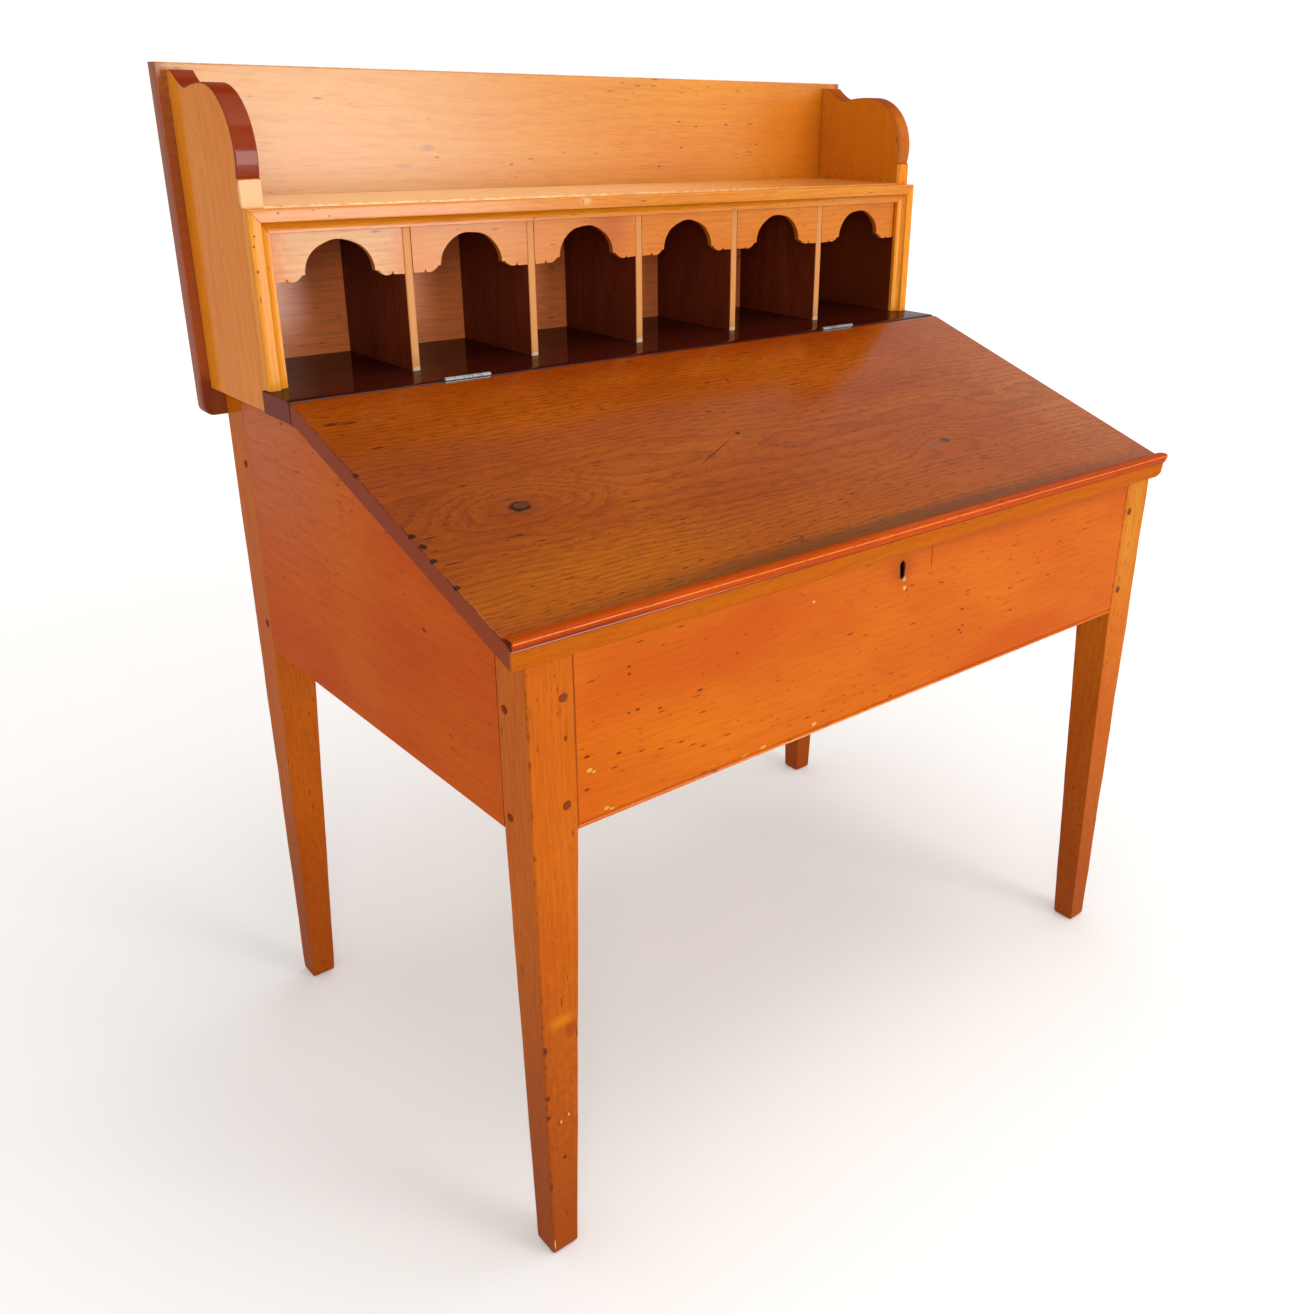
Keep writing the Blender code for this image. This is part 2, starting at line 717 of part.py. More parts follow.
def scroll_outline():
    """Side of a gallery end: flat behind, a scoop, a long lobe, a small step, then the upright front."""
    back = BACK_Y - CLEAR
    flat_end = back - SCROLL_FLAT
    valley_y = flat_end - SCOOP_L
    lobe_y = GALLERY_Y + LOBE_R
    lobe_z = LOBE_CREST - LOBE_R
    foot_angle = 180 + math.degrees(math.asin((lobe_z - SCROLL_FOOT - SCROLL_STEP) / LOBE_R))
    rear_angle = math.degrees(math.acos((valley_y - lobe_y) / (LOBE_STRETCH * LOBE_R)))
    rear = arc((lobe_y, lobe_z), LOBE_R, rear_angle, 90, REAR_STEPS, LOBE_STRETCH)
    front = arc((lobe_y, lobe_z), LOBE_R, 90, foot_angle, LOBE_STEPS)
    scoop = bow((flat_end, GALLERY_TOP), rear[0], SCOOP_SAG, EDGE_STEPS)
    outline = [(back, DECK_BOTTOM), (back, GALLERY_TOP), *scoop, *rear[1:], *front[1:]]
    return outline + [(GALLERY_Y, SCROLL_FOOT), (GALLERY_Y, DECK_BOTTOM)]


def shelf_shape(slack=0.0):
    half = INNER_X + SHELF_HOUSING - CLEAR + slack
    y_range = (GALLERY_Y + CLEAR - slack, BACK_Y - CLEAR + slack)
    return block((-half, half), y_range, (SHELF_BOTTOM - slack, SHELF_TOP + slack))


for side in SIDES:
    reach = sorted(SIDES[side] * x for x in (GALLERY_X, INNER_X))
    end_board = piece(f"gallery_side_{side}", slab(scroll_outline(), "X", *reach), PINE_AMBER, DESK)
    cut(end_board, shelf_shape(2 * CLEAR))

shelf = piece("gallery_shelf", shelf_shape(), PINE_AMBER, DESK)
cut(shelf, *(divider(x, CLEAR) for x in DIVIDER_XS))


def back_board():
    """A wide board behind the gallery, its two lower corners rounded, lapping down behind the box."""
    half = SIDE_X + BACK_OUT
    low = DECK_BOTTOM - BACK_LAP
    left = arc((-half + BACK_CORNER, low + BACK_CORNER), BACK_CORNER, 180, 270, EDGE_STEPS)
    right = arc((half - BACK_CORNER, low + BACK_CORNER), BACK_CORNER, 270, 360, EDGE_STEPS)
    outline = [*left, *right, (half, BACK_TOP), (-half, BACK_TOP)]
    near = BACK_Y + CLEAR
    made = piece("gallery_back", slab(outline, "Y", near, near + BACK_T), PINE_AMBER, DESK)
    ease(made, BOARD_ARRIS)


back_board()


# Face moulding, mitred at the two upper corners

MOULD_Y = GALLERY_Y - CLEAR - MOULD_T


def mould_profile():
    """Points across the moulding: distance in from its outer edge, and distance back from its face."""
    cove = bow((MOULD_FLAT, COVE_QUIRK), (MOULD_W - MOULD_FILLET, COVE_D), -COVE_SAG, EDGE_STEPS)
    return [(0, MOULD_T), (0, 0), (MOULD_FLAT, 0), *cove, (MOULD_W, COVE_D), (MOULD_W, MOULD_T)]


def mitre_height(x, y):
    return MOULD_TOP - (GALLERY_X - abs(x)) - CLEAR


def mitre_right(y, z):
    return GALLERY_X - (MOULD_TOP - z) - CLEAR


def mitre_left(y, z):
    return -mitre_right(y, z)


def mouldings():
    profile = mould_profile()
    for side, sign in SIDES.items():
        outline = [(sign * (GALLERY_X - across), MOULD_Y + deep) for across, deep in profile]
        upright = slab(outline, "Z", DECK_TOP + CLEAR, mitre_height)
        piece(f"moulding_{side}", upright, PINE_AMBER, DESK)
    outline = [(MOULD_Y + deep, MOULD_TOP - across) for across, deep in profile]
    piece("moulding_top", slab(outline, "X", mitre_left, mitre_right), PINE_AMBER, DESK)


mouldings()


# Dividers and the scalloped valances between them

def valance(x):
    """A thin board under the shelf, its lower edge sawn to a tall arch between two lobes and flat ears."""
    half = OPENING / 2 - CLEAR
    top = SHELF_BOTTOM - CLEAR
    arch_half = ARCH_W / 2
    lobe_in = arch_half + EAR_STEP
    lobe_out = lobe_in + LOBE_W
    lobe_low = VALANCE_BOTTOM + LOBE_DROP
    arch = arc((0, ARCH_SPRING), ARCH_RISE, 0, 90, ARCH_STEPS, arch_half / ARCH_RISE)
    lobe = bow((lobe_in, ARCH_SPRING - LOBE_DROP), (lobe_out, lobe_low), -LOBE_SAG, EDGE_STEPS)
    notch = [(lobe_out + NOTCH_W / 2, VALANCE_BOTTOM + NOTCH_H), (lobe_out + NOTCH_W, VALANCE_BOTTOM)]
    right = [*reversed(arch), (lobe_in, ARCH_SPRING), *lobe, *notch, (half, VALANCE_BOTTOM), (half, top)]
    left = [(-u, v) for u, v in reversed(right[1:])]
    outline = [(x + u, v) for u, v in left + right]
    return slab(outline, "Y", DIVIDER_Y, DIVIDER_Y + VALANCE_T)


for i, x in enumerate(DIVIDER_XS):
    piece(f"divider_{i + 1}", divider(x), PINE_INNER, DESK)

HOLE_XS = [x - (OPENING + DIVIDER_T) / 2 for x in DIVIDER_XS]
HOLE_XS.append(DIVIDER_XS[-1] + (OPENING + DIVIDER_T) / 2)
for i, x in enumerate(HOLE_XS):
    piece(f"valance_{i + 1}", valance(x), PINE_AMBER, DESK)
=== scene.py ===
import math
from functools import partial

import bpy
import numpy as np
from mathutils import Matrix, Vector


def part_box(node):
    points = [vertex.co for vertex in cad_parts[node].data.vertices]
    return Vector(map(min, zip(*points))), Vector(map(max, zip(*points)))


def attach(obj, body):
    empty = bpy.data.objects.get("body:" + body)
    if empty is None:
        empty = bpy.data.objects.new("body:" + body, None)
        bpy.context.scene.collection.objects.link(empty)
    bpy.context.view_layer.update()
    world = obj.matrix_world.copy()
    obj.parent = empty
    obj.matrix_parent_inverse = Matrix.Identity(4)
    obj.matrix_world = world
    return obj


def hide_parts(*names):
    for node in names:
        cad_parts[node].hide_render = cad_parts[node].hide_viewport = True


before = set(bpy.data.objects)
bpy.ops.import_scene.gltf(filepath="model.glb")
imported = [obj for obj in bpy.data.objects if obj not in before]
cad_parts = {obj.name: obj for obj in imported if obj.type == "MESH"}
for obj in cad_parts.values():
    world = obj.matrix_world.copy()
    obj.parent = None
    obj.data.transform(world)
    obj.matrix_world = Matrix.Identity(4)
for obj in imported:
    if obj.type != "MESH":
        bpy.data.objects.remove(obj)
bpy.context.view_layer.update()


# Legs
# Four posts of two-inch pine, square beside the box and tapered on their two inner faces below it.
# A plane eased their arrises, which have worn rounder since, most of all at the feet; shellacked.

LEG_TAPER_TOP = 0.518
LEG_HEAD = 0.69
LEG_FOOT = 0.032
LEG_ARRIS = np.array([0.0032, 0.0014, 0.0020, 0.0014])
FOOT_WEAR, HEAD_WEAR = 0.0060, 0.0012
LID_SLOPE = math.radians(18.5)
GUARD = 0.0006
SHARP = math.radians(38)
LEG_FACE, LEG_CORNER = -0.3295, -0.3280
LEG_SHADES = ("#C46708", "#B65403", "#8A3C00", "#4A1A06", "#7A3A1C", "#762E06")


def worn(corners, reach, steps=4):
    """Corners of a closed section, shape (..., corners, 2), each worn round. Between the two points that lie
    reach away from a corner along its edges runs the parabola that the corner steers; a guard point beyond
    each end keeps the flats flat. Gives the loop and its wear: 0 on a flat, 1 in the middle of an arris."""
    back = np.roll(corners, 1, axis=-2) - corners
    onward = np.roll(corners, -1, axis=-2) - corners
    back /= np.linalg.norm(back, axis=-1, keepdims=True)
    onward /= np.linalg.norm(onward, axis=-1, keepdims=True)
    reach = np.broadcast_to(reach, corners.shape[:-1] + (2,))
    s = np.linspace(0, 1, steps + 1)
    along_back = reach[..., :1] * (1 - s) ** 2
    along_on = reach[..., 1:] * s**2
    none = np.zeros_like(reach[..., :1])
    along_back = np.concatenate([reach[..., :1] + GUARD, along_back, none], axis=-1)[..., None]
    along_on = np.concatenate([none, along_on, reach[..., 1:] + GUARD], axis=-1)[..., None]
    points = corners[..., None, :] + along_back * back[..., None, :] + along_on * onward[..., None, :]
    wear = np.tile(np.concatenate([[0], 4 * s * (1 - s), [0]]), corners.shape[-2])
    return points.reshape(*corners.shape[:-2], -1, 2), wear


def inwards(loop):
    """For each point of a closed loop, the step that moves both edges beside it inwards by one."""
    edge = np.roll(loop, -1, axis=-2) - loop
    edge /= np.linalg.norm(edge, axis=-1, keepdims=True)
    x, y = loop[..., 0], loop[..., 1]
    area = (x * np.roll(y, -1, axis=-1) - y * np.roll(x, -1, axis=-1)).sum(axis=-1)
    normal = np.stack([-edge[..., 1], edge[..., 0]], axis=-1) * np.sign(area)[..., None, None]
    before = np.roll(normal, 1, axis=-2)
    return (normal + before) / (1 + (normal * before).sum(axis=-1, keepdims=True))


def lengthways(stations, loops, end_wear, axis="x", wear=0.0, reach=None, steps=4):
    """Rings of a board: a loop at each station along one axis, and at both ends the loop drawn in along a
    parabola, so that the end's arris is worn by end_wear, one length or one for each end. Loops are
    (stations, points, 2), or (points, 2) where all are alike, in the order of the axes that follow. Where
    reach is given they are plain corners, which are worn round by it after they are drawn in. Gives the rings
    and their wear, which is 0 on the flat of an end."""
    loops = np.broadcast_to(loops, (len(stations), *np.shape(loops)[-2:]))
    s = np.linspace(0, 1, 5)
    between = np.zeros(len(stations) - 2)
    first, last = np.broadcast_to(end_wear, 2)
    shrink = [np.concatenate([[worn_by + GUARD], worn_by * (1 - s) ** 2, [0]]) for worn_by in (first, last)]
    step = [np.concatenate([[0], worn_by * s**2, [worn_by + GUARD]]) for worn_by in (first, last)]
    rub = np.concatenate([[0], 4 * s * (1 - s), [0]])
    place = np.concatenate([stations[0] + step[0], stations[1:-1], (stations[-1] - step[1])[::-1]])
    inset = np.concatenate([shrink[0], between, shrink[1][::-1]])
    ends = np.concatenate([rub, between, rub[::-1]])
    source = np.repeat(np.arange(len(stations)), [len(rub), *np.ones(len(between), int), len(rub)])
    drawn = loops[source] + inwards(loops[source]) * inset[:, None, None]
    if reach is not None:
        drawn, wear = worn(drawn, np.broadcast_to(reach, loops.shape)[source], steps)
    rings = np.concatenate([np.broadcast_to(place[:, None, None], drawn.shape[:2] + (1,)), drawn], axis=-1)
    rings = np.roll(rings, {"x": 0, "y": 1, "z": 2}[axis], axis=-1)
    wear = np.maximum(np.broadcast_to(wear, drawn.shape[:2]), ends[:, None])
    wear[[0, -1]] = 0
    return rings, wear


def meshed(name, points, faces, *materials):
    """An object made of points and faces, shaded smooth but for edges that turn by more than SHARP."""
    mesh = bpy.data.meshes.new(name)
    mesh.from_pydata(points, [], faces)
    mesh.shade_smooth()
    mesh.set_sharp_from_angle(angle=SHARP)
    for material in materials:
        mesh.materials.append(material)
    made = bpy.data.objects.new(name, mesh)
    bpy.context.scene.collection.objects.link(made)
    return made


def skin(name, material, *stacks):
    """A mesh of closed skins. Each stack is rings of points, shape (rings, points, 3), with the wear of each
    point: a point is joined to the next one on its ring and on the next ring, and a flat face closes each
    end."""
    points, wears, faces, start = [], [], [], 0
    for rings, wear in stacks:
        index = np.arange(rings.shape[0] * rings.shape[1]).reshape(rings.shape[:2])
        beside = np.roll(index, -1, axis=1)
        quads = np.stack([index[:-1], beside[:-1], beside[1:], index[1:]], axis=-1).reshape(-1, 4)
        flat = rings.reshape(-1, 3)
        a, b, c, d = (flat[quads[:, i]] - flat.mean(axis=0) for i in range(4))
        volume = np.einsum("ij,ij->", a, np.cross(b, c)) + np.einsum("ij,ij->", a, np.cross(c, d))
        caps = [index[0, ::-1], index[-1]]
        if volume < 0:
            quads, caps = quads[:, ::-1], [cap[::-1] for cap in caps]
        faces += (quads + start).tolist() + [(cap + start).tolist() for cap in caps]
        points.append(flat)
        wears.append(np.broadcast_to(wear, rings.shape[:2]).ravel())
        start += len(flat)
    made = meshed(name, np.concatenate(points), faces, material)
    made.data.attributes.new("wear", "FLOAT", "POINT").data.foreach_set("value", np.concatenate(wears))
    return made


def linear(colour):
    """An sRGB hex colour in linear light."""
    srgb = np.array([int(colour[i : i + 2], 16) for i in (1, 3, 5)]) / 255
    light = np.where(srgb <= 0.04045, srgb / 12.92, ((srgb + 0.055) / 1.055) ** 2.4)
    return (*light.tolist(), 1.0)


def add(tree, kind, inputs=None, **settings):
    """Adds one shader node with its settings; each input gets the value or output given for it, or the first
    output of a node given for it."""
    made = tree.nodes.new("ShaderNode" + kind)
    for name, value in settings.items():
        setattr(made, name, value)
    for name, value in (inputs or {}).items():
        if isinstance(value, bpy.types.Node):
            value = value.outputs[0]
        if isinstance(value, bpy.types.NodeSocket):
            tree.links.new(value, made.inputs[name])
        else:
            made.inputs[name].default_value = value
    return made


def pine(name, grain, shades, heart, ring=0.0055, figure=0.22, fibres=0.45, fibre_size=(0.038, 0.0021),
         pores=0.3, knots=(), washes=(), marks=(), rub=(0.42, 0.62), coat=0.2, edge_coat=0.0, gloss=0.16):
    """Old pine, planed by hand and polished with orange shellac. The eye sees growth rings cut lengthways, as
    pale bands with a dark late edge, fine fibres, short dark resin pores that lie with the grain, darker end
    grain, rubbed arrises, and a thin uneven film of polish over it all. shades are the pale and the common
    wood, late rings, pores, end grain and rubbed arrises, the last of which is a painted highlight on the
    pencil stop; heart is where the tree's middle lay, across the grain; knots bend the rings round a place;
    washes are tints under the grain, and marks are stains, fillings and scars over it, and on some boards
    both also carry painted sheen, highlights, reflections and shade; rub is the range of a noise over which
    a worn arris shows; fibre_size is a fibre's length and width; edge_coat is the film that a worn arris has
    more, and a face with a wear of -1 has less."""
    material = bpy.data.materials.new(name)
    material.use_nodes = True
    tree = material.node_tree
    node = partial(add, tree)
    shader = tree.nodes["Principled BSDF"]
    pale, body, late_wood, pore_wood, end_wood, rub_and_highlight_wood = (linear(shade) for shade in shades)
    texture = node("TexCoord")
    place = texture.outputs["Object"]
    turned = {"x": (0, 0, 0), "y": (0, 0, -math.pi / 2), "z": (0, math.pi / 2, 0)}[grain]
    trunk = node("Mapping", {"Vector": place, "Rotation": turned})

    # Rings about the heart wander by several millimetres over a hand's length, and swell round a knot
    slow = node("VectorMath", {0: trunk, 1: (2.2, 9.0, 9.0)}, operation="MULTIPLY")
    wander = node("TexNoise", {"Vector": slow, "Scale": 1.0, "Detail": 2.0}).outputs["Color"]
    bend = node("VectorMath", {0: wander, 1: (0.5, 0.5, 0.5)}, operation="SUBTRACT")
    bend = node("VectorMath", {0: bend, 1: (0.0, 0.034, 0.034)}, operation="MULTIPLY")
    flow = node("VectorMath", {0: trunk, 1: bend}, operation="ADD")
    for centre, size, lift in knots:
        off = node("VectorMath", {0: place, 1: centre}, operation="SUBTRACT")
        off = node("VectorMath", {0: off, 1: size}, operation="DIVIDE")
        off = node("VectorMath", {0: off}, operation="LENGTH").outputs["Value"]
        swell = node("MapRange", {"Value": off, "To Min": lift, "To Max": 0.0},
                     interpolation_type="SMOOTHERSTEP")
        swell = node("CombineXYZ", {"Z": swell})
        flow = node("VectorMath", {0: flow, 1: swell}, operation="ADD")
    rings_at = node("VectorMath", {0: flow, 1: (0.0, *heart)}, operation="SUBTRACT")
    rings = node("TexWave", {"Vector": rings_at, "Scale": 2 * math.pi / (20 * ring), "Distortion": 1.6,
                 "Detail": 2.0, "Detail Scale": 0.6},
                 wave_type="RINGS", rings_direction="X", wave_profile="SAW")
    late = node("MapRange", {"Value": rings.outputs["Fac"], "From Min": 0.45, "To Max": figure})

    # Fibres, some 2 mm wide and 40 mm long, are drawn coarser than real ones so that they show
    fine = (1 / fibre_size[0], 1 / fibre_size[1], 1 / fibre_size[1])
    fine = node("VectorMath", {0: flow, 1: fine}, operation="MULTIPLY")
    fibre = node("TexNoise", {"Vector": fine, "Scale": 1.0, "Detail": 3.0}).outputs["Fac"]
    broad = node("VectorMath", {0: trunk, 1: (3.5, 11.0, 11.0)}, operation="MULTIPLY")
    patch = node("TexNoise", {"Vector": broad, "Scale": 1.0, "Detail": 3.0}).outputs["Fac"]
    patchy = node("MapRange", {"Value": patch, "From Min": 0.35, "From Max": 0.68, "To Max": 0.75})
    streak = node("MapRange", {"Value": fibre, "From Min": 0.48, "From Max": 0.72, "To Max": fibres})

    # Resin pores: dashes to 12 mm long and 2 mm wide, each of its own size, gathered in loose groups
    cells = node("VectorMath", {0: flow, 1: (38.0, 240.0, 240.0)}, operation="MULTIPLY")
    dash = node("TexVoronoi", {"Vector": cells, "Scale": 1.0})
    chance = node("SeparateColor", {0: dash.outputs["Color"]})
    grouped = node("Math", {0: patch, 1: 2.4, 2: chance}, operation="MULTIPLY_ADD")
    chosen = node("MapRange", {"Value": grouped, "From Min": 2.3 - pores, "From Max": 2.4 - pores})
    reach = node("MapRange", {"Value": chance.outputs[1], "To Min": 0.10, "To Max": 0.29})
    dashes = node("MapRange", {"Value": dash.outputs["Distance"], "From Max": reach, "To Min": 1.3,
                  "To Max": 0.0})
    dashes = node("Math", {0: chosen, 1: dashes}, operation="MULTIPLY")
    cells = node("VectorMath", {0: flow, 1: (70.0, 190.0, 190.0)}, operation="MULTIPLY")
    fleck = node("TexVoronoi", {"Vector": cells, "Scale": 1.0})
    picked = node("SeparateColor", {0: fleck.outputs["Color"]}).outputs[1]
    picked = node("Math", {0: picked, 1: 1.0 - 0.25 * pores}, operation="GREATER_THAN")
    flecks = node("MapRange", {"Value": fleck.outputs["Distance"], "From Min": 0.08, "From Max": 0.17,
                  "To Min": 0.8, "To Max": 0.0})
    flecks = node("Math", {0: picked, 1: flecks}, operation="MULTIPLY")
    dashes = node("Math", {0: dashes, 1: flecks}, operation="MAXIMUM")

    # End grain, by how far a face looks along the grain, and rubbed arrises
    along = {"x": (1, 0, 0), "y": (0, 1, 0), "z": (0, 0, 1)}[grain]
    facing = node("VectorMath", {0: texture.outputs["Normal"], 1: along}, operation="DOT_PRODUCT")
    facing = node("Math", {0: facing.outputs["Value"]}, operation="ABSOLUTE")
    cut = node("MapRange", {"Value": facing, "From Min": 0.55, "From Max": 0.95, "To Max": 0.8})
    rough_edge = node("TexNoise", {"Vector": place, "Scale": 130.0, "Detail": 2.0}).outputs["Fac"]
    # Worn arrises take the rubbed shade. On the pencil stop the wear is a narrow band along the crest, and
    # the rubbed shade there is a painted highlight
    wear = node("Attribute", attribute_name="wear").outputs["Fac"]
    rubbed = node("MapRange", {"Value": rough_edge, "From Min": rub[0], "From Max": rub[1], "To Max": 0.8})
    rubbed = node("Math", {0: wear, 1: rubbed}, operation="MULTIPLY")

    def ovals(colour, spots):
        """Lays soft-edged ovals over a colour, each with its centre, half sizes, tint, amount and softness,
        and perhaps a turn in degrees about the vertical; a noise makes the edge ragged."""
        for centre, size, tint, amount, soft, *angle in spots:
            off = node("Mapping", {"Vector": place, "Location": centre, "Scale": size,
                       "Rotation": (0.0, 0.0, math.radians(sum(angle)))}, vector_type="TEXTURE")
            off = node("VectorMath", {0: off}, operation="LENGTH").outputs["Value"]
            off = node("Math", {0: rough_edge, 1: 0.5, 2: off}, operation="MULTIPLY_ADD")
            inside = node("MapRange", {"Value": off, "From Min": 1.25 - soft, "From Max": 1.25,
                          "To Min": amount, "To Max": 0.0}, interpolation_type="SMOOTHSTEP")
            colour = node("Mix", {0: inside, 6: colour, 7: linear(tint)}, data_type="RGBA").outputs[2]
        return colour

    colour = node("Mix", {0: patchy, 6: body, 7: pale}, data_type="RGBA").outputs[2]
    colour = ovals(colour, washes)
    for wood, amount in ((late_wood, late), (late_wood, streak), (pore_wood, dashes), (end_wood, cut),
                         (rub_and_highlight_wood, rubbed)):
        colour = node("Mix", {0: amount, 6: colour, 7: wood}, data_type="RGBA").outputs[2]
    colour = ovals(colour, marks)

    # The wood's own relief under the polish, a tenth of a millimetre, and the film's slow waves over it; the
    # end grain drinks most of the film
    relief = node("Math", {0: late, 1: 0.35, 2: fibre}, operation="MULTIPLY_ADD")
    relief = node("Math", {0: dashes, 1: -1.2, 2: relief}, operation="MULTIPLY_ADD")
    smooth_end = node("MapRange", {"Value": facing, "From Min": 0.55, "From Max": 0.95, "To Min": 0.30,
                      "To Max": 0.06})
    grain_bump = node("Bump", {"Height": relief, "Strength": smooth_end, "Distance": 0.0004})
    matt = node("MapRange", {"Value": fibre, "To Min": 0.30, "To Max": 0.52})
    film = node("TexNoise", {"Vector": place, "Scale": 26.0, "Detail": 2.0}).outputs["Fac"]
    film = node("Math", {0: relief, 1: 0.12, 2: film}, operation="MULTIPLY_ADD")
    film_bump = node("Bump", {"Height": film, "Strength": 0.12, "Distance": 0.0012})
    most_film = node("Math", {0: wear, 1: edge_coat, 2: coat}, operation="MULTIPLY_ADD")
    film_left = node("MapRange", {"Value": facing, "From Min": 0.3, "From Max": 0.8, "To Min": most_film,
                     "To Max": 0.35 * coat})
    tree.links.new(colour, shader.inputs["Base Color"])
    for socket, made in (("Normal", grain_bump), ("Coat Normal", film_bump), ("Roughness", matt),
                         ("Coat Weight", film_left)):
        tree.links.new(made.outputs[0], shader.inputs[socket])
    shader.inputs["Specular IOR Level"].default_value = 0.0
    shader.inputs["Coat Roughness"].default_value = gloss
    shader.inputs["Coat IOR"].default_value = 1.5
    return material


def front_spots(face, deep, rows):
    """Ovals for pine on a face that looks to the front: each row's x and z, half width and half height, and
    the rest of the oval as it stands."""
    return tuple(((x, face, z), (wide, deep, tall), *rest) for x, z, wide, tall, *rest in rows)


# The first wash darkens the legs towards the feet; the last lightens the outer faces of the left legs, which
# look away from the window: painted light
LEG_WASHES_AND_SIDE_LIGHT = (
    ((0.0, 0.0, -0.08), (4.0, 4.0, 0.66), "#843402", 0.8, 0.9),
    ((0.475, -0.330, 0.66), (0.035, 0.030, 0.18), "#C88620", 0.6, 0.8),
    ((-0.503, 0.0, 0.68), (0.008, 0.80, 0.66), "#D06606", 0.5, 0.8),
)
LEG_MARKS = front_spots(LEG_FACE, 0.006, (
    (-0.4780, 0.3110, 0.0240, 0.0120, "#D07E10", 0.5, 0.95),
    (-0.4670, 0.2950, 0.0125, 0.0140, "#8A3404", 0.6, 0.8),
    (-0.4766, 0.3340, 0.0012, 0.0090, "#5A2006", 0.7, 0.6),
    (-0.4730, 0.1860, 0.0014, 0.0024, "#E8C890", 0.7, 0.6),
    (-0.4830, 0.1815, 0.0011, 0.0030, "#E8C890", 0.7, 0.6),
    (-0.4800, 0.1310, 0.0030, 0.0030, "#3A1406", 0.8, 0.5),
    (-0.4975, 0.0150, 0.0010, 0.0090, "#DDB488", 0.75, 0.6),
    (-0.4600, 0.6280, 0.0024, 0.0040, "#5A2006", 0.8, 0.5),
)) + front_spots(LEG_CORNER, 0.004, (
    (-0.4975, 0.2831, 0.0026, 0.0060, "#4A1806", 0.85, 0.5),
    (-0.4975, 0.2205, 0.0030, 0.0040, "#4A1806", 0.85, 0.5),
    (-0.4975, 0.1950, 0.0030, 0.0040, "#4A1806", 0.85, 0.5),
))
leg_pine = pine("pine_leg_planed_shellac", "z", LEG_SHADES, heart=(0.03, 0.05), figure=0.2,
                fibre_size=(0.032, 0.0017), pores=0.42, washes=LEG_WASHES_AND_SIDE_LIGHT, marks=LEG_MARKS, rub=(0.5, 0.68))
for end in ("front", "back"):
    for side in ("left", "right"):
        low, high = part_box(f"leg_{end}_{side}")
        out_x, in_x = (low.x, high.x) if side == "left" else (high.x, low.x)
        out_y, in_y = (low.y, high.y) if end == "front" else (high.y, low.y)
        straight = np.linspace(LEG_TAPER_TOP + 0.006, LEG_HEAD, 7)
        z = np.concatenate([np.linspace(0, LEG_TAPER_TOP, 20), straight])
        up = (z / LEG_TAPER_TOP)[:, None]
        wide = np.minimum(LEG_FOOT / abs(in_x - out_x) * (1 - up) + up, 1)
        corners = np.stack([out_x + (in_x - out_x) * wide * (0, 1, 1, 0),
                            out_y + (in_y - out_y) * wide * (0, 0, 1, 1)], -1)
        phase = 9 * out_x + 7 * out_y
        nicks = 1 + 0.3 * np.sin(31 * z + phase) + 0.2 * np.sin(77 * z + 2 * phase)
        reach = (nicks[:, None] * LEG_ARRIS)[..., None]
        rings, wear = lengthways(z, corners, (FOOT_WEAR, HEAD_WEAR), "z", reach=reach)
        top = high.z - (math.tan(LID_SLOPE) * (in_y - rings[..., 1]) if end == "front" else 0)
        lift = np.clip((rings[..., 2] - LEG_TAPER_TOP) / (LEG_HEAD - LEG_TAPER_TOP), 0, 1)
        rings[..., 2] += lift * (top - LEG_HEAD)
        leg = skin(f"leg_{end}_{side}_post", leg_pine, (rings, wear))
        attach(leg, "desk")
        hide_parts(f"leg_{end}_{side}")


# Front apron
# A deep board of clear pine tenoned into the front legs, with a bead run along its lower edge and a keyhole.
# Its polish is the brightest on the desk; screw holes near the lower edge are filled with a pale putty.

